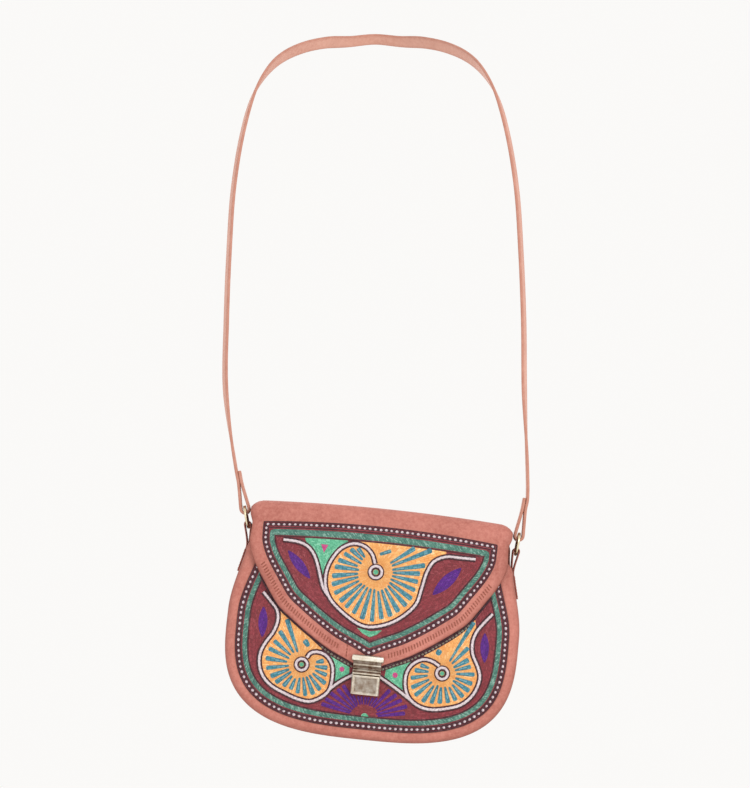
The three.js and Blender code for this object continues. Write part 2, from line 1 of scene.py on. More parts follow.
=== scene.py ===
# %% [markdown]
# # A crossbody bag with embroidered panels
# The bag is sewn from pieces of pink-brown leather. Two embroidered fields fill its front and its
# flap, a brass lock closes it, and a long strap hangs on two rings. The solids that hold its sizes
# come first, as a frame. Each piece here is drawn in millimetres, in the bag's own frame with its
# lowest point at z = 0, its back at y = 0 and its front facing -Y, and is then hung in the shared
# frame in metres.

import math

import bmesh
import bpy
import numpy as np
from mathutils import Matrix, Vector
from mathutils.geometry import delaunay_2d_cdt


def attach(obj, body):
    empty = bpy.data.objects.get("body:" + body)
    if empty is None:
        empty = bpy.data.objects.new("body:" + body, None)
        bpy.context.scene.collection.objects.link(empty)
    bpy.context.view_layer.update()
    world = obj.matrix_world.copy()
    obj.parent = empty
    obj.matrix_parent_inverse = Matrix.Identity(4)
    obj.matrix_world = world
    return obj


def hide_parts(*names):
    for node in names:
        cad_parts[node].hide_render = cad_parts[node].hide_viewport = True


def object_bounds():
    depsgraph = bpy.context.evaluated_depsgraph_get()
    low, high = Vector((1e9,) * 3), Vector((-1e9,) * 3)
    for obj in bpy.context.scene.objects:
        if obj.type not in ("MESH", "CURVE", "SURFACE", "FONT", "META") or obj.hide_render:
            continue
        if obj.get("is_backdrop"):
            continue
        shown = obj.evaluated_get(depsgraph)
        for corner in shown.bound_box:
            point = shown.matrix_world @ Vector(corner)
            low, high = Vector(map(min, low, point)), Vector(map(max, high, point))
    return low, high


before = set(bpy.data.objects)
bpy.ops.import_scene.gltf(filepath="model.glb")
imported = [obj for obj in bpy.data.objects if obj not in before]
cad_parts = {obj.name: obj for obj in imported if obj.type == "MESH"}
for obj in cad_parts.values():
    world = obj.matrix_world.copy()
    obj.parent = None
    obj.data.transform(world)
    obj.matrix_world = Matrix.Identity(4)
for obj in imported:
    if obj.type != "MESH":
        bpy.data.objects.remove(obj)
cad_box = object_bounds()
print("nodes:", ", ".join(sorted(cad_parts)))

# %% [markdown]
# ## Sizes
# These are the sizes of the real bag. The same few numbers shape the solids, so a piece that is
# worked out from them lands on its solid without any fitting.

# %% Sizes of the body, in millimetres
bag_width = 300
bag_height = 237
waist_height = 112
corner_power = 3
lean_start = 6
lean_end = 12
mouth_width = 270
body_depth = 56
mouth_depth = 46
full_depth_share = 0.3
front_bulge = 5
dome_reach = 0.6
front_top = bag_height - 41
back_top = bag_height - 15
top_corner = 16
panel_wall = 2.4
edge_roll = 6
seam_lip = 3
fit_gap = 0.3
gusset_wall = 2.2
gusset_top = front_top - 10
gusset_bulge = 1.2
bottom_bulge_share = 0.3
recess_depth = 1
front_rim = 11
front_rim_top = 15

# %% Sizes of the flap
flap_width = 269
flap_length = 166
flap_offset = -2
flap_wall = 2.6
flap_recess = 0.5
flap_crown = 4.6
crown_fade = 47
flap_shoulder = 14
shoulder_turn = 1
front_fold = 14
rear_fold = 12
flap_rear = 36
flap_lift = 2.2
lift_reach = 97
flap_rim = 14
flap_top_rim = 20
window_crown = 3.5
flap_tip = bag_height - flap_length
fold_under = bag_height - flap_wall
front_fold_start = fold_under - front_fold
rear_fold_start = fold_under - rear_fold

# %% Sizes of the hanging, the rings, the tabs and the strap
hang_side = -1.5
hang_tilt = math.radians(5.8)
nape_height = 680
nape_behind = 190
ring_outer = 25
ring_wire = 3
ring_aside = 4.5
ring_above = 18
ring_lean = math.radians(11)
tab_wall = 1.5
tab_width = 15
tab_loop = 2.4
tab_seam = 28
tab_step = 2
strap_width = 15
strap_wall = 3
strap_loop = 2.7
fold_back = 40
fold_meet = 28
strap_spread = 158
nape_roll = math.radians(35)
roll_share = 0.2
strap_turn = math.radians(18)
turn_length = 90
ring_radius = (ring_outer - ring_wire) / 2
tab_middle = -(mouth_depth + front_bulge / 2) / 2

# %% [markdown]
# ## Small tools
# A few short functions do the work of the whole file. Curves are made smooth, spaced evenly and
# moved sideways. Points are kept in arrays, because one line can then bend a thousand of them.


# %% Numbers and points
def smoothstep(value, start, end):
    share = np.clip((value - start) / (end - start), 0, 1)
    return share * share * (3 - 2 * share)


def lerp(a, b, share):
    return a + (b - a) * share


def join(*parts):
    """Points, from an array or a number for each of their coordinates."""
    return np.stack(np.broadcast_arrays(*parts), axis=-1)


def split(points):
    """The coordinates of points, one array for each."""
    return np.moveaxis(np.asarray(points, float), -1, 0)


def unit(vectors):
    return vectors / np.maximum(np.linalg.norm(vectors, axis=-1, keepdims=True), 1e-9)


def hang(points):
    """Points of the bag's own frame, in millimetres, as the bag hangs below the neck."""
    x, y, z = split(points)
    z = z - bag_height / 2
    cos, sin = math.cos(hang_tilt), math.sin(hang_tilt)
    return join(hang_side + x * cos + z * sin, y - nape_behind, z * cos - x * sin - nape_height)


# %% Curves
def spline(points, per_span=12, knot_power=0.5, held_ends=False):
    """A smooth curve through points, whose knots are spaced by their distance to a power."""
    points = np.asarray(points, float)
    first = points[0] if held_ends else 2 * points[0] - points[1]
    last = points[-1] if held_ends else 2 * points[-1] - points[-2]
    padded = np.vstack((first, points, last))
    steps = np.linspace(0, 1, per_span, endpoint=False)[:, None]
    curve = []
    for p0, p1, p2, p3 in zip(padded, padded[1:], padded[2:], padded[3:]):
        d0, d1, d2 = (np.linalg.norm(b - a) ** knot_power for a, b in ((p0, p1), (p1, p2), (p2, p3)))
        t1 = ((p1 - p0) / d0 - (p2 - p0) / (d0 + d1) + (p2 - p1) / d1) * d1
        t2 = ((p2 - p1) / d1 - (p3 - p1) / (d1 + d2) + (p3 - p2) / d2) * d1
        square = 3 * (p2 - p1) - 2 * t1 - t2
        cube = 2 * (p1 - p2) + t1 + t2
        curve.append(p1 + steps * (t1 + steps * (square + steps * cube)))
    return np.vstack(curve + [points[-1:]])


def lengths_along(path):
    return np.concatenate(([0], np.cumsum(np.linalg.norm(np.diff(path, axis=0), axis=1))))


def even(path, spacing, closed=False):
    """The same line with points at an even spacing; a closed line doesn't repeat its first point."""
    path = np.asarray(path, float)
    if closed:
        path = np.vstack((path, path[:1]))
    run = lengths_along(path)
    count = max(2, round(run[-1] / spacing))
    at = np.linspace(0, run[-1], count + 1)
    if closed:
        at = at[:-1]
    return join(*(np.interp(at, run, part) for part in path.T))


def directions(path, closed=False):
    """Unit directions of a line at its points."""
    if closed:
        return unit(np.roll(path, -1, axis=0) - np.roll(path, 1, axis=0))
    return unit(np.gradient(path, axis=0))


def sideways(path, closed=False):
    """Unit vectors to the left of a flat line: inwards, if it runs anticlockwise."""
    x, z = split(directions(path, closed))
    return join(-z, x)


def inset(path, distance, closed=True):
    distance = np.broadcast_to(distance, len(path))[:, None]
    return path + sideways(path, closed) * distance


# %% [markdown]
# A mesh is gathered in a `Work` before it is made. Many small stitches can be added one by one and
# still become one mesh. Every point also keeps two thread coordinates in millimetres, across and
# along its threads, and the finishes read them to draw stitches at their real size. A sun has 151
# rows round its centre.

# %% Gather points
row_pitch = 1.25
sun_rows = 151
sun_round = sun_rows * row_pitch
line_step = 1.6
longest_face = 40


class Work:
    """Points, faces and thread coordinates of a piece that isn't made yet."""

    def __init__(self):
        self.points, self.faces, self.threads, self.wear_and_shade = [], [], [], []
        self.count = 0

    def add(self, points, faces, threads=None, wear_and_shade=0.0):
        points = np.asarray(points, float).reshape(-1, 3)
        if threads is None:
            threads = points[:, [0, 2]]
        self.faces += [[i + self.count for i in face] for face in faces]
        self.points.append(points)
        self.threads.append(np.asarray(threads, float).reshape(-1, 2))
        self.wear_and_shade.append(np.broadcast_to(np.asarray(wear_and_shade, float).reshape(-1), len(points)))
        self.count += len(points)


def tube_faces(rows, columns, ring=False):
    """Faces between rows of closed loops of points, with one face over each end. A ring has no
    ends, because its last row meets its first."""
    faces = []
    for r in range(rows if ring else rows - 1):
        low, high = r * columns, (r + 1) % rows * columns
        for c in range(columns):
            n = (c + 1) % columns
            faces.append((low + c, low + n, high + n, high + c))
    if not ring:
        faces.append(tuple(range(columns))[::-1])
        faces.append(tuple((rows - 1) * columns + c for c in range(columns)))
    return faces


# %% Make a piece
def put_in_scene(name, data):
    made = bpy.data.objects.new(name, data)
    bpy.context.scene.collection.objects.link(made)
    return made


def close_rounds(threads, mesh):
    """Threads that are counted round a closed line or a centre start again where it ends. Faces
    that span more than any real face does lie across that place, and their first counts are
    raised by the whole round."""
    starts, sizes = (np.zeros(len(mesh.polygons), np.int32) for _ in range(2))
    mesh.polygons.foreach_get("loop_start", starts)
    mesh.polygons.foreach_get("loop_total", sizes)
    for count in threads.T:
        low = np.repeat(np.minimum.reduceat(count, starts), sizes)
        span = np.repeat(np.maximum.reduceat(count, starts), sizes) - low
        late = (span > longest_face) & (count < low + span / 4)
        count[late] += span[late] + line_step
    return threads


def make_piece(name, work, material, body="bag", replaces=(), hanging=True, outward=True):
    """Turns a Work into a piece that rides on a body of the frame."""
    points = np.vstack(work.points)
    points = (hang(points) if hanging else points) / 1000
    mesh = bpy.data.meshes.new(name)
    mesh.from_pydata(points.tolist(), [], work.faces)
    if outward:
        shape = bmesh.new()
        shape.from_mesh(mesh)
        bmesh.ops.recalc_face_normals(shape, faces=shape.faces)
        shape.to_mesh(mesh)
        shape.free()
    corners = np.zeros(len(mesh.loops), np.int32)
    mesh.loops.foreach_get("vertex_index", corners)
    layer = mesh.uv_layers.new(name="thread")
    threads = close_rounds(np.vstack(work.threads)[corners], mesh)
    layer.data.foreach_set("uv", threads.astype(np.float32).ravel())
    wear_and_shade = mesh.attributes.new("wear_and_shade", "FLOAT", "POINT")
    wear_and_shade.data.foreach_set("value", np.concatenate(work.wear_and_shade).astype(np.float32))
    mesh.shade_smooth()
    mesh.materials.append(material)
    piece = put_in_scene(name, mesh)
    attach(piece, body)
    if replaces:
        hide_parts(*replaces)
    print(f"{name}: {len(mesh.vertices)} points, {len(mesh.polygons)} faces")
    return piece


# %% [markdown]
# ## Stage, light and camera
# The bag is hung in front of a bright plain room over a pale floor. A large soft lamp stands at the
# upper right, as a window would, and a weaker one on the left opens the shadows. The camera stands
# where the photographer stood: level with the middle of the bag, and a little over two metres away.
# It looks up by a few degrees so that the whole strap is in the picture.

# %% Room and floor
scene = bpy.context.scene
scene.view_settings.view_transform = "Standard"
floor_height = -1.06
floor_reach = 2.4


def paint(red, green, blue):
    """A colour of a colour chart, from 0 to 255, as the light it stands for."""
    shares = (channel / 255 for channel in (red, green, blue))
    return (*(s / 12.92 if s < 0.04045 else ((s + 0.055) / 1.055) ** 2.4 for s in shares), 1)


world = bpy.data.worlds.new("studio")
world.use_nodes = True
air = world.node_tree.nodes["Background"].inputs
air["Color"].default_value = (1, 0.99, 0.975, 1)
air["Strength"].default_value = 0.96
scene.world = world

disc = bmesh.new()
bmesh.ops.create_circle(disc, cap_ends=True, segments=96, radius=floor_reach)
floor_mesh = bpy.data.meshes.new("studio_floor")
disc.to_mesh(floor_mesh)
disc.free()
floor = put_in_scene("studio_floor", floor_mesh)
floor.location = (0, -0.2, floor_height)
floor_finish = bpy.data.materials.new("studio_floor")
floor_finish.use_nodes = True
floor_inputs = floor_finish.node_tree.nodes["Principled BSDF"].inputs
floor_inputs["Base Color"].default_value = paint(238, 236, 233)
floor_inputs["Roughness"].default_value = 0.8
floor_mesh.materials.append(floor_finish)
floor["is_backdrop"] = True
print("floor at", floor_height)


# %% Lamps
def lamp(name, place, aim, size, power, tint):
    data = bpy.data.lights.new(name, "AREA")
    data.shape = "DISK"
    data.size = size
    data.energy = power
    data.color = tint
    made = put_in_scene(name, data)
    made.location = place
    made.rotation_euler = (Vector(aim) - Vector(place)).to_track_quat("-Z", "Y").to_euler()


bag_centre = (0, -0.22, -0.68)
lamp("window_light", (1.1, -1.9, 0.45), bag_centre, 1.2, 17, (1, 0.98, 0.95))
lamp("fill_light", (-1.6, -1.5, -0.5), bag_centre, 0.8, 3, (0.96, 0.98, 1))
lamp("back_light", (-0.5, 1.5, 0.3), (0, -0.1, -0.4), 1.0, 3.5, (1, 1, 1))
print(len(bpy.data.lights), "lamps")

# %% Camera
sensor_size = 36
stand = Vector((0, -2.39, -0.68))
bag_foot = Vector((0, -0.24, -0.806))
frame_share = 0.9
top_angle = math.atan2(-stand.z, -stand.y)
foot_angle = math.atan2(bag_foot.z - stand.z, bag_foot.y - stand.y)
half_view = (top_angle - foot_angle) / 2 / frame_share
aim_angle = (top_angle + foot_angle) / 2
camera_data = bpy.data.cameras.new("photo_camera")
camera_data.sensor_width = sensor_size
camera_data.lens = sensor_size / 2 / math.tan(half_view)
camera = put_in_scene("photo_camera", camera_data)
camera.location = stand
camera.rotation_euler = (math.pi / 2 + aim_angle, 0, 0)
scene.camera = camera
print(f"lens {camera_data.lens:.0f} mm, looking up {math.degrees(aim_angle):.1f} degrees")

# %% [markdown]
# ## Finishes
# A finish is a small graph of shader nodes. `Nodes` keeps that readable: each call adds one node,
# and whatever is handed to an input is either joined to it or set on it. What a node puts out is a
# `Value`, and sums and products of values add the math nodes that work them out.


# %% Add shader nodes
class Value:
    def __init__(self, nodes, socket):
        self.nodes, self.socket = nodes, socket

    def __add__(self, other):
        return self.nodes.math("ADD", self, other)

    def __rsub__(self, other):
        return self.nodes.math("SUBTRACT", other, self)

    def __mul__(self, other):
        return self.nodes.math("MULTIPLY", self, other)

    def __truediv__(self, other):
        return self.nodes.math("DIVIDE", self, other)


class Nodes:
    def __init__(self, name):
        self.material = bpy.data.materials.new(name)
        self.material.use_nodes = True
        self.tree = self.material.node_tree

    def put(self, socket, value):
        if isinstance(value, Value):
            self.tree.links.new(value.socket, socket)
        else:
            socket.default_value = value

    def add(self, kind, output, inputs=(), **settings):
        node = self.tree.nodes.new("ShaderNode" + kind)
        for name, value in settings.items():
            setattr(node, name, value)
        for name, value in dict(inputs).items():
            self.put(node.inputs[name], value)
        return Value(self, node.outputs[output])

    def math(self, operation, *values):
        node = self.tree.nodes.new("ShaderNodeMath")
        node.operation = operation
        for socket, value in zip(node.inputs, values):
            self.put(socket, value)
        return Value(self, node.outputs[0])

    def mix(self, share, a, b):
        node = self.tree.nodes.new("ShaderNodeMix")
        node.data_type = "RGBA"
        for name, value in (("Factor_Float", share), ("A_Color", a), ("B_Color", b)):
            self.put(next(s for s in node.inputs if s.identifier == name), value)
        return Value(self, next(s for s in node.outputs if s.identifier == "Result_Color"))

    def noise(self, where, scale, detail=3.0, roughness=0.55, shown=None):
        """Noise of a scale. With a shown range, that range is stretched to run from 0 to 1."""
        inputs = {"Vector": where, "Scale": scale, "Detail": detail, "Roughness": roughness}
        value = self.add("TexNoise", "Fac", inputs)
        return self.between(value, *shown) if shown else value

    def between(self, value, low, high):
        """A value from low to high, stretched to run from 0 to 1."""
        return self.add("MapRange", "Result", {"Value": value, "From Min": low, "From Max": high})

    def finish(self, height, strength, relief, **looks):
        """Sets the surface: a bump from a height, and its looks under their short names."""
        inputs = {"Height": height, "Strength": strength, "Distance": relief}
        looks["normal"] = self.add("Bump", "Normal", inputs)
        names = {"colour": "Base Color", "roughness": "Roughness", "normal": "Normal"}
        names |= {"metal": "Metallic", "gloss": "Specular IOR Level"}
        for name, value in looks.items():
            self.put(self.tree.nodes["Principled BSDF"].inputs[names[name]], value)
        return self.material


# %% [markdown]
# ** Leather.** Vegetable-tanned leather isn't one colour. The dye lies in soft clouds a few
# centimetres across, fine mottling breaks them up, the grain is a net of cells about a millimetre
# wide, and the cut and folded edges are darker: smoother from handling, with painted shade where
# they roll away from the light. The clouds and mottling are noise at those sizes, the grain is a
# cell pattern that only lifts the surface, and a value on the mesh marks the edges for their wear
# and their painted shade together.


# %% Leather finish
def leather(name, base, light, dark, edge, grain=1.1, relief=0.0003):
    nodes = Nodes(name)
    where = nodes.add("TexCoord", "Object")
    wear_and_shade = nodes.add("Attribute", "Fac", attribute_name="wear_and_shade")
    clouds = nodes.noise(where, 18, 4, shown=(0.32, 0.7))
    mottle = nodes.noise(where, 260, 4, 0.7, shown=(0.3, 0.75))
    speckle = nodes.noise(where, 700, 3, 0.7, shown=(0.52, 0.72))
    patchy = nodes.noise(where, 120, 3, shown=(0.2, 0.7))
    colour = nodes.mix(clouds, dark, base)
    colour = nodes.mix(mottle * 0.55, colour, light)
    colour = nodes.mix(speckle * 0.5, colour, dark)
    # Marked edges mix towards the edge colour: burnished leather with painted shade where the edges roll
    # away.
    colour = nodes.mix(wear_and_shade * (patchy * 0.5 + 0.45), colour, edge)
    cell_size = {"Vector": where, "Scale": 1000 / grain}
    cells = nodes.add("TexVoronoi", "Distance", cell_size, feature="SMOOTH_F1")
    creases = nodes.noise(where, 90, 5, 0.65, shown=(0.42, 0.6))
    height = cells * -0.5 + nodes.noise(where, 1500, 2) * 0.4 + creases * 0.5
    return nodes.finish(height, 0.55, relief, colour=colour, roughness=mottle * 0.14 + 0.52, gloss=0.35)


bag_leather = leather(
    "bag_leather",
    base=paint(192, 117, 103),
    light=paint(220, 152, 138),
    dark=paint(160, 88, 76),
    edge=paint(132, 70, 58),
)
strap_leather = leather(
    "strap_leather",
    base=paint(214, 160, 142),
    light=paint(230, 184, 166),
    dark=paint(196, 138, 120),
    edge=paint(176, 116, 98),
    grain=0.9,
    relief=0.00015,
)

# %% [markdown]
# ** Thread.** Embroidery is rows of short stitches. The finish turns the thread coordinates into
# rows about a millimetre wide, cuts every row into stitches of a few millimetres that start at a
# different place in each row, rounds them in the bump, and gives each stitch its own tint. Silky
# thread shines a little by its gloss, and some stitches get a painted highlight too. The gaps
# between the rows and the ends of the stitches get painted shade.


# %% Thread finish
def thread(name, colour, gap, pitch=row_pitch, stitch=4.5, tint=0.5, painted_glint=0.35, relief=0.0004):
    nodes = Nodes(name)
    place = nodes.add("UVMap", "UV", uv_map="thread")
    across, along = (nodes.add("SeparateXYZ", axis, {"Vector": place}) for axis in "XY")
    where = nodes.add("TexCoord", "Object")
    row = (across + nodes.noise(where, 160, 2) * 0.9) / pitch
    row_number = nodes.math("FLOOR", row)
    row_shift = nodes.add("TexWhiteNoise", "Value", {"W": row_number}, noise_dimensions="1D")
    spot = along / stitch + row_shift * 7
    ridge, ends = (nodes.math("SINE", nodes.math("FRACT", part) * math.pi) for part in (row, spot))
    height = nodes.math("POWER", ridge, 0.6) * nodes.math("MINIMUM", ends * 3.0, 1.0)
    which = nodes.add("CombineXYZ", "Vector", {"X": row_number, "Y": nodes.math("FLOOR", spot)})
    own = nodes.add("TexWhiteNoise", "Value", {"Vector": which}, noise_dimensions="2D")
    patches = nodes.noise(where, 110, 3, 0.6, shown=(0.4, 0.75))
    # Painted shade in the gaps between rows and at stitch ends, with each stitch's own random tint.
    shade_and_tint = (1.0 - height) * 0.8 + own * tint + patches * (tint / 2)
    shown = nodes.mix(nodes.math("MINIMUM", shade_and_tint, 1.0), colour, gap)
    # A painted highlight on some stitches: their colour mixed towards white.
    light = (*(lerp(channel, 1, 0.35) for channel in colour[:3]), 1)
    shown = nodes.mix(nodes.between(own, 0.25, 0.0) * painted_glint * height, shown, light)
    return nodes.finish(height, 0.8, relief, colour=shown, roughness=own * 0.15 + 0.42, gloss=0.45)


# Each thread: its colour, a darker colour painted as shade in its gaps and used for its darker stitches,
# and its settings.
thread_table = {
    "maroon": ((154, 54, 64), (104, 32, 40), {"painted_glint": 0.06}),
    "line": ((84, 34, 46), (46, 16, 26), {"painted_glint": 0.1}),
    "green": ((118, 174, 154), (56, 104, 94), {"stitch": 2.4, "tint": 0.75, "painted_glint": 0.5}),
    "mint": ((118, 208, 166), (66, 150, 116), {}),
    "orange": ((252, 196, 118), (226, 142, 74), {"painted_glint": 0.5}),
    "teal": ((76, 154, 172), (38, 98, 114), {"painted_glint": 0.4}),
    "purple": ((98, 12, 146), (60, 6, 100), {"painted_glint": 0.05}),
    "pink": ((226, 88, 152), (166, 50, 106), {}),
    "white": ((242, 232, 236), (186, 164, 172), {"stitch": 12, "tint": 0.3, "painted_glint": 0.1}),
    # White thread darkened to grey: painted shade for the beads in the flap's shadow.
    "grey": ((164, 160, 142), (96, 90, 78), {"tint": 0.3}),
}
threads = {
    name: thread(f"{name}_thread", paint(*colour), paint(*gap), **rest)
    for name, (colour, gap, rest) in thread_table.items()
}
seam_thread = thread("seam_thread", paint(186, 108, 88), paint(140, 74, 58), pitch=0.6, painted_glint=0.1)

# %% [markdown]
# ** Brass.** The lock and rings are plated and a little tarnished. Cloudy tarnish makes the metal
# browner and duller, and fine scratches stretch the highlights. Where the mesh is marked, in grooves
# and under edges, a dark brown is painted in: grime together with painted shade and painted
# reflections of the dark surroundings.


# %% Brass finish
def brass(name, bright, tarnish, grime_and_shade=paint(90, 62, 46)):
    nodes = Nodes(name)
    where = nodes.add("TexCoord", "Object")
    wear_and_shade = nodes.add("Attribute", "Fac", attribute_name="wear_and_shade")
    clouds = nodes.noise(where, 140, 5, 0.65, shown=(0.35, 0.72))
    stretched = nodes.add("Mapping", "Vector", {"Vector": where, "Scale": (1, 1, 14)})
    scratches = nodes.noise(stretched, 900, 3, 0.7)
    # Grime with painted shade and painted reflection, where the mesh is marked.
    dirt_and_shade = nodes.math("MINIMUM", wear_and_shade * (clouds * 0.3 + 0.75), 1.0)
    colour = nodes.mix(dirt_and_shade, nodes.mix(clouds, bright, tarnish), grime_and_shade)
    roughness = clouds * 0.16 + 0.22 + scratches * 0.1 + wear_and_shade * 0.3
    return nodes.finish(scratches, 0.25, 0.00008, colour=colour, roughness=roughness, metal=1.0)


lock_brass = brass("lock_brass", paint(252, 248, 236), paint(204, 184, 158))
ring_brass = brass("ring_brass", paint(246, 236, 205), paint(205, 185, 145))
print(len(bpy.data.materials), "finishes")

# %% [markdown]
# ## The body's shape
# Seen from the front, the body is a wide rounded pouch: the lower half of a superellipse, with
# sides that lean in above it. The front panel domes out a little, and the body is deepest low down.


# %% Outline and front face of the body
def side_at(z):
    lean = smoothstep(z, waist_height + lean_start, front_top + lean_end)
    return lerp(bag_width / 2, mouth_width / 2, lean)


def half_outline(top):
    """The right half of the body's outline, from the bottom up to a height."""
    turn = np.linspace(0, math.pi / 2, 120)
    power = 2 / corner_power
    across = bag_width / 2 * np.sin(turn) ** power
    bottom = join(across, waist_height * (1 - np.abs(np.cos(turn)) ** power))
    bottom[-1] = (bag_width / 2, waist_height)
    heights = np.linspace(waist_height, top, 40)[1:]
    return np.vstack((bottom, join(side_at(heights), heights)))


def panel_outline(top, spacing=2.4):
    """A panel's whole outline, evenly spaced and anticlockwise, with rounded top corners."""
    half = half_outline(top - top_corner)
    inner = half[-1, 0] - top_corner
    turn = np.linspace(0, math.pi / 2, 14)[1:]
    corner = join(inner + top_corner * np.cos(turn), top - top_corner * (1 - np.sin(turn)))
    half = np.vstack((half, corner))
    mirrored = (half * (-1, 1))[::-1]
    return even(np.vstack((half, mirrored[:-1])), spacing, closed=True)


def dome_share(x, z):
    middle = (front_top + front_rim) / 2
    across = np.minimum(1, np.abs(x) / (bag_width / 2)) ** 2
    up = np.minimum(1, np.abs(z - middle) / (front_top * dome_reach)) ** 2
    return (1 - across) * (1 - up)


def front_face(x, z):
    """Y of the front panel's leather face."""
    depth = lerp(body_depth, mouth_depth, smoothstep(z, full_depth_share * front_top, front_top))
    return -depth - front_bulge * dome_share(x, z)


def on_front(spots, lift=0.0):
    """Points that lie on the front panel at (x, z), lifted off its leather."""
    x, z = split(spots)
    return join(x, front_face(x, z) - lift, z)


# %% [markdown]
# ## Leather panels
# Each panel is one piece of leather. Its edge rolls round, and a short lip reaches over the gusset,
# where the seam is. The mesh is a set of closed loops from the middle of the face out to the edge,
# round it and back in: a real wall with a real inside.


# %% Front and back panels
def panel_work(outline, face, inward, face_loops):
    """Loops of (inset, depth, share, darkening), where share draws a loop in towards the middle. The
    darkening is wear with painted shade.
    """
    middle = np.array((0, waist_height))
    inner_roll = edge_roll - panel_wall
    turns = np.radians(np.linspace(0, 90, 9))
    nose = panel_wall / 2
    end = edge_roll + seam_lip - nose
    loops = list(face_loops)
    for a in turns:
        # Wear with painted shade: the edge darkens as it rolls away from the face.
        wear_and_shade = 0.15 + 0.75 * math.sin(a) ** 2
        loops.append((edge_roll * (1 - math.sin(a)), edge_roll * (1 - math.cos(a)), 1, wear_and_shade))
    loops.append((0, end, 1, 0.9))
    for a in np.radians((30, 60, 90, 120, 150)):
        loops.append((nose * (1 - math.cos(a)), end + nose * math.sin(a), 1, 1))
    loops.append((panel_wall, end, 1, 0.6))
    for a in turns[::-1]:
        loops.append((edge_roll - inner_roll * math.sin(a), edge_roll - inner_roll * math.cos(a), 1, 0))
    loops += [(edge_roll, panel_wall, share, 0) for share in (0.8, 0.6, 0.4, 0.2, 0.06)]
    rows, wear_and_shade_values = [], []
    for distance, depth, share, wear_and_shade in loops:
        x, z = split(lerp(middle, inset(outline, distance), share))
        rows.append(join(x, face(x, z) + inward * depth, z))
        wear_and_shade_values += [wear_and_shade] * len(outline)
    work = Work()
    work.add(np.vstack(rows), tube_faces(len(rows), len(outline)), wear_and_shade=wear_and_shade_values)
    return work


def front_rim_at(z):
    return lerp(front_rim, front_rim_top, smoothstep(z, waist_height, front_top))


front_outline = panel_outline(front_top)
rim = front_rim_at(front_outline[:, 1])
window_loops = [(rim, recess_depth, share, 0) for share in (0.06, 0.3, 0.6, 0.9, 1)]
# The step down into the window is darkened: wear with a painted shadow line.
window_loops += [(rim, 0.5, 1, 0.8), (rim - 0.2, 0.12, 1, 0.8), (rim - 0.7, 0, 1, 0.5)]
window_loops += [(lerp(rim, edge_roll, share), 0, 1, 0.05) for share in (0.3, 0.5, 0.7, 0.85)]
front_work = panel_work(front_outline, front_face, 1, window_loops)
make_piece("front_leather", front_work, bag_leather, replaces=["front_panel"])


def back_face(x, z):
    """The back is nearly flat and has gone a little hollow from being carried."""
    hollow = np.clip(dome_share(x, z), 0, 1)
    return -1.2 * hollow**0.8 + 0.35 * np.sin(x / 31) * np.cos(z / 23) * hollow


back_loops = [(edge_roll, 0, share, 0) for share in np.linspace(0.04, 0.98, 30)]
back_work = panel_work(panel_outline(back_top), back_face, -1, back_loops)
make_piece("back_leather", back_work, bag_leather, replaces=["back_panel"])

# %% [markdown]
# The gusset is one long strip from one tab round the bottom to the other. It lies inside both lips
# and swells out a little between its seams.


# %% Gusset
def gusset_swell(across, z):
    seam = (seam_lip + fit_gap) / (mouth_depth - 2 * edge_roll)
    middle = smoothstep(across, seam, 0.5) * (1 - smoothstep(across, 0.5, 1 - seam))
    return gusset_bulge * middle * lerp(bottom_bulge_share, 1, smoothstep(z, 0, waist_height))


def gusset_work():
    right = half_outline(gusset_top)
    line = even(np.vstack(((right * (-1, 1))[:0:-1], right)), 3.0)
    shares = np.linspace(0, 1, 15)
    loop = [(share, 0) for share in shares] + [(share, gusset_wall) for share in shares[::-1]]
    columns = []
    for across, wall in loop:
        by = panel_wall + fit_gap + wall - gusset_swell(across, line[:, 1])
        x, z = split(inset(line, by, closed=False))
        columns.append(join(x, lerp(front_face(x, z) + edge_roll, -edge_roll, across), z))
    points = np.stack(columns, axis=1)
    wear_and_shade = np.zeros(points.shape[:2])
    wear_and_shade[[0, -1]] = 0.8
    wear_and_shade[[1, -2]] = 0.4
    work = Work()
    work.add(points, tube_faces(*points.shape[:2]), wear_and_shade=wear_and_shade)
    return work


make_piece("gusset_leather", gusset_work(), bag_leather, replaces=["gusset"])

# %% [markdown]
# ## Flap
# The flap is one thick piece of leather. It is sewn to the back, folds over the top and ends in a
# rounded V at the lock. Rows run across it from the tip up the front, over the fold and down the
# back. Each row is a closed loop: the under side, a rounded edge, the face and the other edge.

# %% Shape of the flap
edge_drop = np.array((1, 0.952, 0.898, 0.825, 0.741, 0.663, 0.548, 0.416, 0.3, 0.2, 0.11))
edge_half = np.array((0.03, 0.156, 0.305, 0.454, 0.602, 0.721, 0.825, 0.932, 0.988, 1, 1))
edge_places = join(edge_half * flap_width / 2, bag_height - edge_drop * flap_length)
flap_edge = spline(edge_places, knot_power=0, held_ends=True)


def crown_share(z):
    return smoothstep(z, front_fold_start - crown_fade, front_fold_start)


def rest_on_front(across, z):
    """Y of the flap's under side, which lifts off the front towards its side edges."""
    lift = flap_lift * np.minimum(1, np.abs(across) / lift_reach) ** 2
    return front_face(across + flap_offset, z) - flap_recess - fit_gap - lift


def flap_bend(across, edge, y, z):
    """Rounds the fold's two ends and lets its crown drop towards them."""
    flat = edge - shoulder_turn * flap_shoulder
    over = np.maximum(0, np.abs(across) - flat) / flap_shoulder
    share = crown_share(z)
    turned = lerp(over, np.sin(over), share) - over
    drop = flap_crown * (2 * across / flap_width) ** 2 + flap_shoulder * (1 - np.cos(over))
    return join(across + np.sign(across) * turned * flap_shoulder + flap_offset, y, z - drop * share)


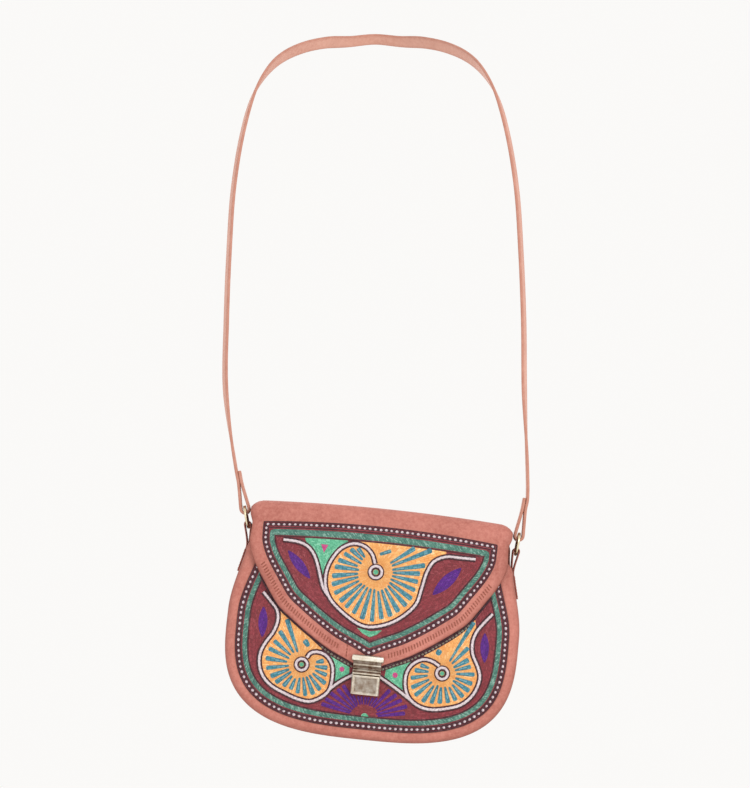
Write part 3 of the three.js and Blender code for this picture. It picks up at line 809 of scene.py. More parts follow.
def flap_rows():
    """Each row has its half width, the height whose place on the front it starts from, if any,
    the y added to that, and its z."""
    rows = [(half, z, 0, z) for half, z in even(flap_edge, 2.4)]
    wide = flap_width / 2 + flap_shoulder * (shoulder_turn - math.sin(shoulder_turn))
    for a in np.linspace(0, math.pi / 2, 12):
        half = lerp(flap_width / 2, wide, min(1, a / 0.5))
        out = front_fold * (1 - math.cos(a))
        rows.append((half, front_fold_start, out, front_fold_start + front_fold * math.sin(a)))
    for a in np.linspace(0, math.pi / 2, 11):
        y = fit_gap - rear_fold * (1 - math.sin(a))
        rows.append((wide, None, y, rear_fold_start + rear_fold * math.cos(a)))
    for share in np.linspace(0, 1, 9)[1:]:
        z = lerp(rear_fold_start, fold_under - flap_rear, share)
        rows.append((lerp(wide, flap_width / 2, share), None, fit_gap, z))
    return rows


# %% Flap leather
def flap_work():
    columns, nose_steps = 72, 7
    nose_turns = np.radians(np.linspace(-90, 90, nose_steps + 2)[1:-1])
    under, reach = [], []
    for half, level, y, z in flap_rows():
        nose = min(flap_wall / 2, half / 3)
        across = np.linspace(-1, 1, columns) * (half - nose)
        if level is not None:
            y = y + rest_on_front(across, level)
        under.append(flap_bend(across, half, y, z))
        reach.append([nose])
    under = np.array(under)
    normal = unit(np.cross(np.gradient(under, axis=1), np.gradient(under, axis=0)))
    middle = under + normal * flap_wall / 2
    noses = []
    for column, beside, turns in ((-1, -2, nose_turns), (0, 1, nose_turns[::-1])):
        out = unit(under[:, column] - under[:, beside]) * reach
        up = normal[:, column] * flap_wall / 2
        nose = [middle[:, column] + out * math.cos(a) + up * math.sin(a) for a in turns]
        noses.append(np.stack(nose, axis=1))
    face = under + normal * flap_wall
    loops = np.concatenate((under, noses[0], face[:, ::-1], noses[1]), axis=1)
    wear_and_shade = np.zeros(loops.shape[:2])
    # The rounded edges are darkened: wear with painted shade where they turn away from the face.
    for past_nose, worn_and_shaded in ((2, 0.25), (1, 0.7), (0, 1)):
        reached = nose_steps + past_nose
        wear_and_shade[:, columns : columns + reached] = worn_and_shaded
        wear_and_shade[:, -reached:] = worn_and_shaded
    work = Work()
    work.add(loops, tube_faces(*loops.shape[:2]), wear_and_shade=wear_and_shade)
    return work


make_piece("flap_leather", flap_work(), bag_leather, replaces=["flap"])


def on_bent(spots, lift=0.0):
    """Points on the flap's face, lifted off its leather. Their places are given on the leather
    before its crown bends, as (across, z)."""

    def under(across, level):
        return flap_bend(across, flap_width / 2, rest_on_front(across, level), level)

    across, level = split(spots)
    step = 0.5
    right = under(across + step, level) - under(across - step, level)
    up = under(across, level + step) - under(across, level - step)
    return under(across, level) + unit(np.cross(right, up)) * np.asarray(flap_wall + lift)[..., None]


def on_flap(spots, lift=0.0):
    """The same for places given as (x, z) of the finished bag."""
    x, z = split(spots)
    across, level = x - flap_offset, z
    for _ in range(6):
        level = z + flap_crown * (2 * across / flap_width) ** 2 * crown_share(level)
    return on_bent(join(across, level), lift)


# %% [markdown]
# ## Ways to embroider
# Four kinds of stitching make the whole pattern. A **field** fills an outline with rows of thread.
# A **band** is a narrow flat row along a line: satin stitches, outlines, rays and leaves. A **cord**
# is a thick twisted thread that is sewn down along a line, and **dots** are a row of small raised
# stitches. All of them are drawn flat, as the maker draws the pattern on the leather, and then
# draped over the panel by its carrier, a function such as `on_front`. A needle is a `Work` with the
# carrier of what it adds. One seeded row of random numbers makes the stitches a little uneven, as a
# hand does.

# %% Fields
hand_sewn = np.random.default_rng(7)
edge_rings = (0.35, 0.9)
grid_height = 0.87


def inside(spots, outline):
    x, z = spots[:, 0][:, None], spots[:, 1][:, None]
    ax, az = outline[:, 0], outline[:, 1]
    bx, bz = np.roll(ax, -1), np.roll(az, -1)
    crosses = (az > z) != (bz > z)
    safe = np.where(bz == az, 1, bz - az)
    return np.sum(crosses & (x < ax + (z - az) * (bx - ax) / safe), axis=1) % 2 == 1


def nearest(spots, outline):
    """Distance to an outline, and how far along it the nearest place is."""
    span = np.roll(outline, -1, axis=0) - outline
    run = np.concatenate(([0], np.cumsum(np.linalg.norm(span, axis=1))))[:-1]
    best = np.full(len(spots), 1e9)
    along = np.zeros(len(spots))
    for start, step, before in zip(outline, span, run):
        length = np.linalg.norm(step)
        share = np.clip((spots - start) @ step / max(length**2, 1e-9), 0, 1)
        away = np.linalg.norm(spots - start - share[:, None] * step, axis=1)
        closer = away < best
        best[closer] = away[closer]
        along[closer] = before + share[closer] * length
    return best, along


def field(needle, outline, lift, spacing=1.8, sink=-0.4, rays_from=None):
    """Fills an outline with thread, from its sunken edge up to a lift off the leather. The rows
    follow the outline, or spread out from a point."""
    work, carrier = needle
    outline = even(outline, spacing, closed=True)
    ahead = np.roll(outline, -1, axis=0)
    if np.sum(outline[:, 0] * ahead[:, 1] - ahead[:, 0] * outline[:, 1]) < 0:
        outline = outline[::-1]
    low, high = outline.min(0), outline.max(0)
    across = np.arange(low[0], high[0], spacing)
    up = np.arange(low[1], high[1], spacing * grid_height)
    grid = np.array([(x + (i % 2) * spacing / 2, z) for i, z in enumerate(up) for x in across])
    grid = grid[inside(grid, outline)]
    grid = grid[nearest(grid, outline)[0] > 1.1 * spacing]
    for distance in edge_rings:
        ring = inset(outline, distance)
        kept = inside(ring, outline) & (nearest(ring, outline)[0] > 0.7 * distance)
        grid = np.vstack((grid, ring[kept]))
    count = len(outline)
    edges = [(i, (i + 1) % count) for i in range(count)]
    made = delaunay_2d_cdt([Vector(p) for p in np.vstack((outline, grid))], edges, [], 1, 1e-4)
    flat = np.array([tuple(p) for p in made[0]])
    away, along = nearest(flat, outline)
    edge = away < 1e-3
    faces = [face for face in made[2] if not edge[list(face)].all()]
    rounding = np.sqrt(np.clip(1 - (1 - np.clip(away, 0, 1)) ** 2, 0, 1))
    rows = join(away, along)
    if rays_from is not None:
        spoke = flat - np.asarray(rays_from)
        turned = np.arctan2(spoke[:, 1], spoke[:, 0]) / (2 * math.pi) * sun_round
        rows = join(turned, np.linalg.norm(spoke, axis=1))
    top = carrier(flat, lerp(sink, lift, rounding))
    bottom = carrier(flat, np.full(len(flat), sink - 0.2))
    total = len(flat)
    under = [i if edge[i] else i + total for i in range(total)]
    faces += [[under[i] for i in face][::-1] for face in faces]
    keep = np.concatenate((np.ones(total, bool), ~edge))
    renumber = (np.cumsum(keep) - 1).tolist()
    faces = [[renumber[i] for i in face] for face in faces]
    work.add(np.vstack((top, bottom))[keep], faces, np.vstack((rows, rows))[keep])


# %% Bands
arched = ((-1, None), (-0.93, 0.62), (-0.6, 0.94), (0, 1), (0.6, 0.94), (0.93, 0.62), (1, None))
flat_topped = ((-1, None), (-0.97, 0.84), (-0.8, 1), (0, 1), (0.8, 1), (0.97, 0.84), (1, None))
satin_slant = 0.8
band_sink = -0.3


def band(needle, path, width, lift, closed=False, satin=False, section=arched):
    """A low row along a line. Width and lift may change along it. A section is a list of places
    across it with their shares of the lift, or None where it is sunk in the leather."""
    work, carrier = needle
    path = np.asarray(path, float)
    out = sideways(path, closed)
    run = lengths_along(path)
    half = np.broadcast_to(np.asarray(width, float) / 2, len(path))
    rise = np.broadcast_to(np.asarray(lift, float), len(path))
    columns, rows = [], []
    for across, share in section:
        height = np.full(len(path), band_sink) if share is None else rise * share
        offset = half * across
        columns.append(carrier(path + out * offset[:, None], height))
        rows.append(join(run + satin_slant * offset, offset) if satin else join(offset, run))
    points = np.stack(columns, axis=1)
    faces = [face[::-1] for face in tube_faces(*points.shape[:2], ring=closed)]
    work.add(points, faces, np.stack(rows, axis=1))


def leaf(needle, start, end, width, lift, tail=0.45):
    """A short band with blunt ends: a ray, a leaf or a stitch. Tail is its width at the start, as
    a share of the width near its end."""
    start, end = np.asarray(start, float), np.asarray(end, float)
    length = np.linalg.norm(end - start)
    blunt = min(0.3 * width, 0.3 * length) / length
    rounding = np.array((0, 0.12, 0.45, 1)) * blunt
    steps = np.concatenate((rounding, (0.3, 0.5, 0.7), 1 - rounding[::-1]))
    path = lerp(start, end, steps[:, None])
    away = np.clip(np.minimum(steps, 1 - steps) / blunt, 0, 1)
    ends = np.sqrt(1 - (1 - away) ** 2 * 0.96)
    body = lerp(tail, 1, np.minimum(1, steps / 0.8)) * ends
    band(needle, path, width * body, lift * np.maximum(ends, 0.4))


# %% Cords and dots
def cord(needle, path, width, height, base, twist=4.2, plies=3, columns=12):
    """A twisted cord that is sewn down along a line."""
    work, carrier = needle
    path = even(path, 0.45)
    out = sideways(path)
    run = lengths_along(path)
    points, rows = [], []
    for k in range(columns):
        turn = 2 * math.pi * k / columns
        swell = 1 + 0.1 * np.cos(plies * turn - 2 * math.pi * run / twist)
        spots = path + out * (width / 2 * math.cos(turn) * swell)[:, None]
        points.append(carrier(spots, base + height / 2 + height / 2 * math.sin(turn) * swell))
        rows.append(join(k * width * 3 / columns + 0.9 * run, run))
    points = np.stack(points, axis=1)
    work.add(points, tube_faces(*points.shape[:2]), np.stack(rows, axis=1))


def dots(needle, path, pitch, size, height, closed=False):
    """A row of small raised stitches."""
    work, carrier = needle
    path = even(path, pitch, closed)
    ring = np.linspace(0, 2 * math.pi, 10, endpoint=False)
    levels = ((1, -0.3), (0.97, 0.35), (0.72, 0.8), (0.3, 0.99))
    for spot, along, out in zip(path, directions(path, closed), sideways(path, closed)):
        aside, further, bigger = hand_sewn.uniform(-1, 1, 3)
        spot = spot + 0.2 * (aside * out + further * along)
        long, wide = np.asarray(size) * (1 + 0.1 * bigger)
        rows = []
        for share, rise in levels:
            ahead, aside = (share / 2 * np.stack((np.cos(ring), np.sin(ring))))[:, :, None]
            flat = spot + ahead * along * long + aside * out * wide
            rows.append(carrier(flat, np.full(len(ring), height * rise)))
        local = join(np.sin(ring) * wide / 2, np.cos(ring) * long / 2)
        local = np.vstack([local * share for share, _ in levels])
        work.add(np.vstack(rows), tube_faces(len(rows), len(ring)), local)


# %% [markdown]
# ## The two patches and their borders
# Both patches have the same border. From its edge inwards come a dark outline, a row of white
# stitches on dark thread, a second dark line, a band of green satin stitches and a last dark line.
# The border keeps its distance to the patch's edge, so it is worked out from that edge.

# %% Borders of the patches
outline_lift = 0.62
satin_lift = 0.8
ground_lift = 0.42
bed_lift = 0.5
bed_width = 3.4
dot_pitch = 5.5
dot_size = (3.2, 2.6)
dot_height = 1.25
top_widening = 1.34
white_distance = 3.2
border = {"dark": (0.5, 1.5), "second": (5.7, 1.5), "last": (12.9, 1.5), "green": (9.6, 5.2)}


def front_window(distance):
    """The edge of the front patch, moved inwards."""
    window = inset(front_outline, front_rim_at(front_outline[:, 1]) + distance)
    return even(window, line_step, closed=True)


def flap_window(distance):
    """The edge of the flap's patch, moved inwards, as (across, z) on the flat leather. It starts at
    the tip of the V and runs anticlockwise. Its border is wider along the top."""
    side = inset(flap_edge, flap_rim + distance, closed=False)
    side = side[side[:, 0] > 0]
    top = bag_height - flap_top_rim - distance
    top -= (top_widening - 1) * max(0, distance - white_distance)
    across = np.linspace(0, flap_width / 2, 60)
    level = top - window_crown * (2 * across / flap_width) ** 2
    side = side[side[:, 1] < np.interp(side[:, 0], across, level)]
    slope = (side[3, 1] - side[0, 1]) / (side[3, 0] - side[0, 0])
    tip = np.array((0, side[0, 1] - side[0, 0] * slope))
    corner_x = side[-1, 0]
    roof = join(across, level)[::-1]
    roof = roof[roof[:, 0] < corner_x]
    corner = np.array((corner_x, np.interp(corner_x, across, level)))
    half = [even(np.vstack(part), line_step) for part in ((tip, side, corner), (corner, roof))]
    mirror = [part[::-1] * (-1, 1) for part in half[::-1]]
    return np.vstack([part[:-1] for part in half + mirror])


works = {place: {colour: Work() for colour in threads} for place in ("front", "flap")}
front = {colour: (work, on_front) for colour, work in works["front"].items()}
flap = {colour: (work, on_flap) for colour, work in works["flap"].items()}
flat_flap = {colour: (work, on_bent) for colour, work in works["flap"].items()}

field(front["maroon"], front_window(0.3), ground_lift, spacing=2.2, sink=-0.6)
field(flat_flap["maroon"], flap_window(0.3), ground_lift, spacing=2.2)


def make_border(needles, window, widening=1):
    for name in ("dark", "second", "last"):
        distance, width = border[name]
        band(needles["line"], window(distance), width, outline_lift, closed=True)
    bed = window(white_distance)
    band(needles["line"], bed, bed_width, bed_lift, closed=True, section=flat_topped)
    distance, width = border["green"]
    path = window(distance)
    level = np.abs(directions(path, closed=True)[:, 0])
    on_top = smoothstep(level, 0.93, 0.99) * (path[:, 1] > fold_under - 60)
    width = width * lerp(1, widening, on_top)
    band(needles["green"], path, width, satin_lift, closed=True, satin=True)


make_border(front, front_window)
make_border(flat_flap, flap_window, top_widening)
print("window of the flap:", np.round(flap_window(0).min(0), 1), np.round(flap_window(0).max(0), 1))


# %% White stitches of the borders
def under_flap(spots, margin):
    """True where the flap covers the front panel by more than a margin."""
    reach = np.interp(spots[:, 1], flap_edge[:, 1] + margin, flap_edge[:, 0], left=0)
    return np.abs(spots[:, 0] - flap_offset) < reach


flap_dots = flap_window(white_distance)
dots(flat_flap["white"], flap_dots, dot_pitch, dot_size, dot_height, closed=True)
front_dots = even(front_window(white_distance), dot_pitch, closed=True)
front_dots = np.roll(front_dots, -int(np.argmax(front_dots[:, 1])), axis=0)
front_dots = front_dots[~under_flap(front_dots, 6)]
dots(front["white"], front_dots, dot_pitch, dot_size, dot_height)

# %% [markdown]
# ## The pattern
# The pattern is a folk motif: a curling cord ends in a ring, and the field inside the curl is a sun
# with rays. One large sun fills the flap, and two smaller ones mirror each other on the front. The
# curls were drawn by hand, so each is a short list of places that a smooth curve runs through.

# %% Cords, rings and circles
cord_width = 2.6
cord_height = 1.5
outlined_width = 6.0
over_lift = 0.95


def hand(*places):
    """Places measured from the middle line on the sheet, moved into the bag's own frame."""
    return np.array(places, float) + (1.5, -2)


def couch(needles, path):
    """A white cord with a dark outline on both sides."""
    path = even(path, 1.0)
    band(needles["line"], path, outlined_width, over_lift, section=flat_topped)
    cord(needles["white"], path, cord_width, cord_height, 0.6)


def circle(centre, radius, count=40):
    turn = np.linspace(0, 2 * math.pi, count, endpoint=False)
    return np.asarray(centre) + radius * join(np.cos(turn), np.sin(turn))


def eye(needles, centre, radius):
    """The ring at the end of a curl: a coil of white cord round a green spot."""
    ring = circle(centre, radius - 1.6)
    band(needles["line"], ring, 5.8, over_lift + 0.05, closed=True, section=flat_topped)
    coil = circle(centre, radius - 1.3, 60)
    cord(needles["white"], np.vstack((coil, coil[:1])), cord_width, 1.6, 0.7)
    field(needles["mint"], circle(centre, radius - 4.4, 24), 1.25, spacing=1.0)


# %% Rays
flap_field_lift = 0.72
front_field_lift = 0.68
ray_lift = 1.1
gap_to_cord = 5.4


def headings(first, last, count, wobble, draws):
    """Directions at nearly even angles, each with a few random numbers of its own."""
    for angle in np.radians(np.linspace(first, last, count)):
        shift, *others = hand_sewn.uniform(-1, 1, draws)
        angle += math.radians(wobble * shift)
        yield np.array((math.cos(angle), math.sin(angle))), others


def ray_end(centre, heading, walls, start):
    """How far a ray may run from a centre. Each wall is a line with the gap to be kept to it."""
    best = 1e9
    for line, gap in walls:
        a, b = line[:-1] - centre, line[1:] - centre
        side_a = heading[0] * a[:, 1] - heading[1] * a[:, 0]
        side_b = heading[0] * b[:, 1] - heading[1] * b[:, 0]
        for i in np.nonzero((side_a > 0) != (side_b > 0))[0]:
            share = side_a[i] / (side_a[i] - side_b[i])
            run = float((a[i] + share * (b[i] - a[i])) @ heading)
            if run > start:
                best = min(best, run - gap)
    return best


def sun(needles, centre, walls, first, last, count, start, width):
    """Teal rays from near a centre to near the first wall they meet."""
    for heading, (thinner, longer, later) in headings(first, last, count, 1.1, 4):
        inner = start + 1.5 * later
        outer = ray_end(centre, heading, walls, start) + 0.7 * longer
        if 5 < outer - inner < 90:
            ray = (centre + heading * inner, centre + heading * outer)
            leaf(needles["teal"], *ray, width * (1 + 0.1 * thinner), ray_lift)


# %% The flap's sun
flap_centre = hand((-4.4, 172))[0]
flap_curl = spline(
    hand(
        (96, 195.6), (82, 195.4), (66, 195), (54, 189), (48, 178), (44, 160), (40, 144), (30, 132),
        (16, 122), (0, 116.4), (-10, 115.8), (-20, 119), (-36, 129), (-48, 140), (-54, 152),
        (-55, 166), (-51, 180), (-42, 193), (-30, 199), (-18, 197), (-10, 190), (-6, 180.5),
    )
)
flap_branch = spline(
    hand((-102, 196), (-86, 195), (-76, 191), (-69, 183), (-64, 172), (-60, 160), (-56, 150), (-51, 143.5))
)
inner_edge = on_bent(flap_window(border["last"][0] + 0.5))[:, (0, 2)]
inner_edge = inner_edge[inner_edge[:, 1] > 190]
inner_edge = inner_edge[np.argsort(inner_edge[:, 0])]


def roof(first, last):
    """A part of the border's inner edge along the top of the flap."""
    across = np.linspace(first, last, 30)
    return join(across, np.interp(across, *inner_edge.T))


def nearest_index(curl, place):
    return int(np.argmin(np.linalg.norm(curl - hand(place)[0], axis=1)))


roof_end = 67.5
flap_roof = roof(-24.5, roof_end)
enter = int(np.argmin(np.abs(flap_curl[:, 0] - roof_end)))
leave = nearest_index(flap_curl, (-26, 198.9))
flap_walls = [(flap_curl, gap_to_cord), (flap_roof, 1.8)]
flap_sun = np.vstack((flap_curl[enter:leave], flap_roof))
field(flap["orange"], flap_sun, flap_field_lift, spacing=1.7, rays_from=flap_centre)
sun(flap, flap_centre, flap_walls, 38, -228, count=24, start=17.5, width=5.6)
leaf(flap["teal"], *hand((-2.5, 190.5), (9.5, 195.6)), 4.4, ray_lift, tail=0.8)
couch(flap, flap_branch)
couch(flap, flap_curl)
eye(flap, flap_centre, 7.4)

# %% The flap's corners and all leaves
wedge = hand(
    (-43, 192), (-51, 180), (-55.5, 166), (-58.5, 158), (-61, 166), (-65, 175), (-70, 184.5), (-77, 192.5)
)
petal = hand((-64, 195.5), (-55, 195.5), (-59.4, 185.6))
crescent = hand((-19, 114.5), (-4, 112), (9, 114.5), (3, 108.6), (-4, 105.2), (-12, 108.6))
field(flap["mint"], np.vstack((roof(-80, -33), wedge)), flap_field_lift)
field(flap["pink"], petal, 1.05, spacing=1.0)
field(flap["mint"], crescent, flap_field_lift, spacing=1.2)


def lens(start, end, width):
    """A pointed oval between two places."""
    steps = np.linspace(0, 1, 24)
    out = sideways(np.array((start, end)))[0]
    belly = (np.sin(steps * math.pi) ** 0.8 * width / 2)[:, None] * out
    middle = lerp(start, end, steps[:, None])
    return np.vstack((middle + belly, (middle - belly)[-2:0:-1]))


leaf_shapes = (
    (flap, (-97, 186), (-70, 158), 10.5),
    (flap, (83, 186), (55, 154), 12.5),
    (front, (-115, 127), (-113, 94), 10),
    (front, (112.5, 123), (115, 91), 9.5),
)
for needles, start, end, width in leaf_shapes:
    field(needles["purple"], lens(*hand(start, end), width), flap_field_lift, spacing=1.5)

# %% [markdown]
# The front's two suns run on under the flap, whose edge cuts them off. A dark row with beads is
# sewn on the front along that edge, and it is widest beside the lock. The beads are the border's
# white stitches, painted grey as shade in the flap's shadow. Everything that has a left and a right
# is kept under -1 and 1, so one loop can work both sides.

# %% Curls and branches of the front
centres = {-1: hand((-70, 71.6))[0], 1: hand((73, 77))[0]}
curls = {
    -1: spline(
        hand(
            (-65.5, 79), (-62, 84), (-55, 85.8), (-46, 83), (-39, 74), (-37.6, 60), (-40, 48),
            (-48, 40), (-58, 35.4), (-70, 36.4), (-84, 41), (-98, 47), (-108, 56), (-113, 68),
            (-113, 80), (-109, 90), (-102, 102), (-99, 114), (-101, 124), (-108, 132), (-117, 141),
        )
    ),
    1: spline(
        hand(
            (69.5, 84), (62, 88), (52, 89), (42, 83), (37, 74), (37, 60), (42, 49), (52, 42),
            (64, 39.6), (80, 42), (96, 48), (107, 60), (111.6, 76), (109, 86), (102, 100),
            (101, 112), (104, 122), (110, 131), (119, 142),
        )
    ),
}
branches = {
    -1: spline(hand((-40, 49), (-30, 58), (-18, 66), (-8, 72))),
    1: spline(hand((43, 47.5), (28, 57), (14, 65), (6, 69))),
}


def row_width(side, across):
    """The width of the row under the flap's edge."""
    first, last, least = ((28, 64, 2.2), (80, 110, 2.6))[side > 0]
    return lerp(5.2, least, smoothstep(across, first, last))


def hem(side, share, more=0):
    """The flap's edge as it lies on the front, moved down by a share of the row's width and a
    little more. It starts at the lock and runs outwards and up."""
    edge = even(flap_edge[(flap_edge[:, 0] > 13) & (flap_edge[:, 1] < 158)], line_step)
    down = share * row_width(side, edge[:, 0]) + more
    return inset(edge, -down, closed=False) * (side, 1) + (flap_offset, 0)


def hem_part(side, first, last):
    """The part of the flap's edge between two distances from the middle line, going outwards."""
    line = hem(side, 0, 1.0)
    across = side * line[:, 0]
    return line[(across > first) & (across < last)]


# %% The two suns of the front
# For each side: where the field starts and ends on the curl, how far it follows the flap's edge,
# and the angles of the first and last ray.
sun_table = {
    -1: (((-50, 85), (-101.5, 125.5)), (49, 99), (114, 374)),
    1: (((52, 89), (104.5, 124)), (55, 103), (64, -196)),
}
for side, (cut, roof_span, ray_span) in sun_table.items():
    first, last = (nearest_index(curls[side], place) for place in cut)
    outline = np.vstack((curls[side][first:last], hem_part(side, *roof_span)[::-1]))
    centre = centres[side]
    field(front["orange"], outline, front_field_lift, spacing=1.7, rays_from=centre)
    walls = [(curls[side], gap_to_cord), (hem(side, 1), 2.0)]
    sun(front, centre, walls, *ray_span, count=18, start=13.5, width=5.2)
leaf(front["teal"], *hand((-64.5, 90), (-70, 97)), 6.6, 1.05, tail=0.7)
leaf(front["teal"], *hand((66, 94.5), (69, 101)), 6.6, 1.05, tail=0.8)
for path in (*branches.values(), *curls.values()):
    couch(front, path)
for centre in centres.values():
    eye(front, centre, 7.0)

# %% Corners beside the lock and the fan below it
left_corner = hand((-20.5, 66), (-26, 61), (-33, 56), (-37, 56), (-38, 66), (-40, 76), (-45, 83))
right_corner = hand((46, 85), (42, 83), (37.5, 74), (37, 60), (36, 54), (28, 57.5), (18, 63), (14.5, 66))
left_corner = np.vstack((hem_part(-1, 19, 44)[::-1], left_corner))
right_corner = np.vstack((hem_part(1, 16, 46), right_corner))
for corner in (left_corner, right_corner):
    field(front["mint"], corner, front_field_lift)
for place, radius in (((-28.8, 71), 3.0), ((25.6, 70.5), 3.2)):
    field(front["pink"], circle(hand(place)[0], radius, 16), 1.0, spacing=1.0)

lock_top = flap_tip + 14.6
lock_foot = lock_top - 40
fan_centre = hand((-2, 25))[0]
fan_walls = [(branch, 4.5) for branch in branches.values()]
for heading, (longer, later) in headings(11, 169, 17, 1.2, 3):
    outer = min(44 + 2 * longer, ray_end(fan_centre, heading, fan_walls, 5))
    below_lock = (lock_foot - 1.5 - fan_centre[1]) / heading[1]
    if abs(fan_centre[0] + heading[0] * below_lock - flap_offset) < 13.5:
        outer = min(outer, below_lock)
    ray = (fan_centre + heading * (13.5 + later), fan_centre + heading * outer)
    leaf(front["purple"], *ray, 4.4 if outer > 26 else 2.9, 0.75)
half_dot = circle(hand((-1, 25.4))[0], 4.2, 24)[:13]
field(front["mint"], half_dot, 0.8, spacing=1.0)

# %% Row under the flap's edge
row_under = 2.5
bead_share = 0.62
for side in (-1, 1):
    middle = hem(side, 0.5, -row_under / 2)
    width = row_width(side, side * (middle[:, 0] - flap_offset)) + row_under
    band(front["line"], middle, width, 0.82, section=flat_topped)
    beads = hem(side, bead_share)
    wide = row_width(side, side * (beads[:, 0] - flap_offset)) > 3.4
    # The beads are white stitches painted grey, as shade under the flap's edge.
    dots(front["grey"], beads[wide], 3.9, (3.1, 2.6), 1.45)

# %% Make the embroidery
for place in works:
    for colour, work in works[place].items():
        if not work.count:
            continue
        ground = [f"{place}_embroidery"] if colour == "maroon" else []
        name = f"{place}_{'ground' if colour == 'maroon' else colour}"
        make_piece(name, work, threads[colour], replaces=ground, outward=False)

# %% [markdown]
# ## Stitches in the leather
# A row of slanted stitches runs along the flap's rim beside the lock, in thread of the leather's
# own colour. Each stitch is a small raised leaf of thread that dips into the leather at both ends.

# %% Stitches on the flap and the back
seam_work = Work()


def stitch(needle, start, end, width, lift=0.4):
    leaf(needle, start, end, width, lift, tail=0.9)


rim_line = even(inset(flap_edge, 7.4, closed=False), 3.1)
rim_line = rim_line[rim_line[:, 1] < 168]
for side, first in ((1, 18), (-1, 30)):
    line = rim_line[rim_line[:, 0] > first]
    for spot, along, out in zip(line, directions(line), sideways(line)):
        reach = out * 2.4 + along * 0.5
        stitch((seam_work, on_bent), (spot - reach) * (side, 1), (spot + reach) * (side, 1), 1.3)
for z in np.arange(84, 95, 3.2):
    stitch((seam_work, on_flap), *hand((-25.6, z), (-25.8, z + 2.4)), 1.1)


def on_back(spots, lift=0.0):
    x, z = split(spots)
    return join(x, fit_gap + flap_wall + lift, z)


rear_foot = fold_under - flap_rear
for row_height in (rear_foot + 5, rear_foot + 9):
    for x in np.arange(-flap_width / 2 + 8, flap_width / 2 - 8, 4.2):
        start = x + flap_offset
        stitch((seam_work, on_back), (start, row_height), (start + 3.2, row_height), 1.0)
make_piece("leather_stitches", seam_work, seam_thread)

# %% [markdown]
# ## Rings, tabs and strap
# A tab of leather is folded round each ring and sewn to the gusset. The strap does the same at its
# two ends. Both are flat strips that follow a line, so one function sweeps a section along a path
# and keeps its flat side turned to the front and back.

# %% Sweep a strip along a path
front_to_back = np.array((0.0, 1.0, 0.0))


def strip_work(path, width, wall, roll=None, spacing=1.5):
    """A strip with rounded edges, and the evenly spaced line it follows."""
    path = even(path, spacing)
    along = directions(path)
    flat = unit(front_to_back - along * (along @ front_to_back)[:, None])
    if roll is not None:
        angle = roll(path)[:, None]
        flat = flat * np.cos(angle) + np.cross(along, flat) * np.sin(angle)
    normal = np.cross(along, flat)
    nose = min(wall / 2, 1.3)
    section, wear_and_shade = [], []
    for end in (-1, 1):
        for a in np.radians(np.linspace(-90, 90, 7)) * end:
            across = end * (width / 2 - nose + nose * math.cos(a))
            section.append((across, wall / 2 * math.sin(a)))
            wear_and_shade.append(0.9 if abs(math.degrees(a)) < 80 else 0.5)
        for share in (0.85, 0.5, 0, -0.5, -0.85):
            arch = 1 + 0.03 * (1 - share**2)
            section.append((end * share * (width / 2 - nose), end * wall / 2 * arch))
            wear_and_shade.append(0.25 if abs(share) > 0.8 else 0.0)
    points = np.stack([path + flat * a + normal * b for a, b in section], axis=1)
    work = Work()
    work.add(points, tube_faces(*points.shape[:2]), wear_and_shade=np.tile(wear_and_shade, len(path)))
    return work, path


def ring_place(side):
    """A ring's lowest point, its upward direction and the direction out of the bag."""
    lean = ring_lean - side * hang_tilt
    up = np.array((side * math.sin(lean), 0, math.cos(lean)))
    out = np.array((side * math.cos(lean), 0, -math.sin(lean)))
    foot = np.array((side * (mouth_width / 2 + ring_aside), tab_middle, gusset_top + ring_above))
    return foot, up, out


def wire_rise(width):
    """How much higher the ring's wire lies at the edges of a strip than in its middle."""
    return ring_radius - math.sqrt((ring_radius - ring_wire / 2) ** 2 - (width / 2) ** 2)


def half_turn(centre, out, far, radius, steps=14):
    turn = np.linspace(0, math.pi, steps)[:, None]
    return centre - out * radius * np.cos(turn) + far * radius * np.sin(turn)


# %% Rings
def ring_work(side, steps=96, columns=20):
    foot, up, out = ring_place(side)
    centre = foot + up * ring_radius
    points = []
    for a in np.linspace(0, 2 * math.pi, steps, endpoint=False):
        outwards = front_to_back * math.cos(a) + up * math.sin(a)
        for b in np.linspace(0, 2 * math.pi, columns, endpoint=False):
            reach = ring_radius + ring_wire / 2 * math.cos(b)
            points.append(centre + outwards * reach + out * ring_wire / 2 * math.sin(b))
    work = Work()
    work.add(points, tube_faces(steps, columns, ring=True))
    return work


side_names = {-1: "left", 1: "right"}
for side, word in side_names.items():
    name = f"brass_ring_{word}"
    make_piece(name, ring_work(side), ring_brass, replaces=[f"ring_{word}"])


# %% Tabs
def gusset_face(z):
    return side_at(z) - panel_wall - fit_gap + gusset_swell(0.5, z)


tab_foot = gusset_top - tab_seam


def tab_path(side):
    """Up the gusset, round the ring and down again outside the first layer."""
    foot, up, out = ring_place(side)

    def leg(shift, low):
        heights = [lerp(low, gusset_top, share) for share in (0, 0.33, 0.66, 1)]
        first = 2 * fit_gap + tab_wall / 2 + shift
        return [(side * (gusset_face(z) + first), tab_middle, z) for z in heights]

    reach = wire_rise(tab_width) + fit_gap - tab_loop
    loop = half_turn(foot + up * reach, out, up, tab_loop + tab_wall / 2)
    outer = leg(tab_wall + fit_gap, tab_foot)[::-1]
    return spline(np.vstack((leg(0, tab_foot + tab_step), loop, outer)), per_span=8)


def tab_face(side):
    """The carrier of a tab's outer face."""

    def on_tab(spots, lift=0.0):
        across, z = split(spots)
        x = side * (gusset_face(z) + 3 * fit_gap + 2 * tab_wall + lift)
        return join(x, tab_middle + across, z)

    return on_tab


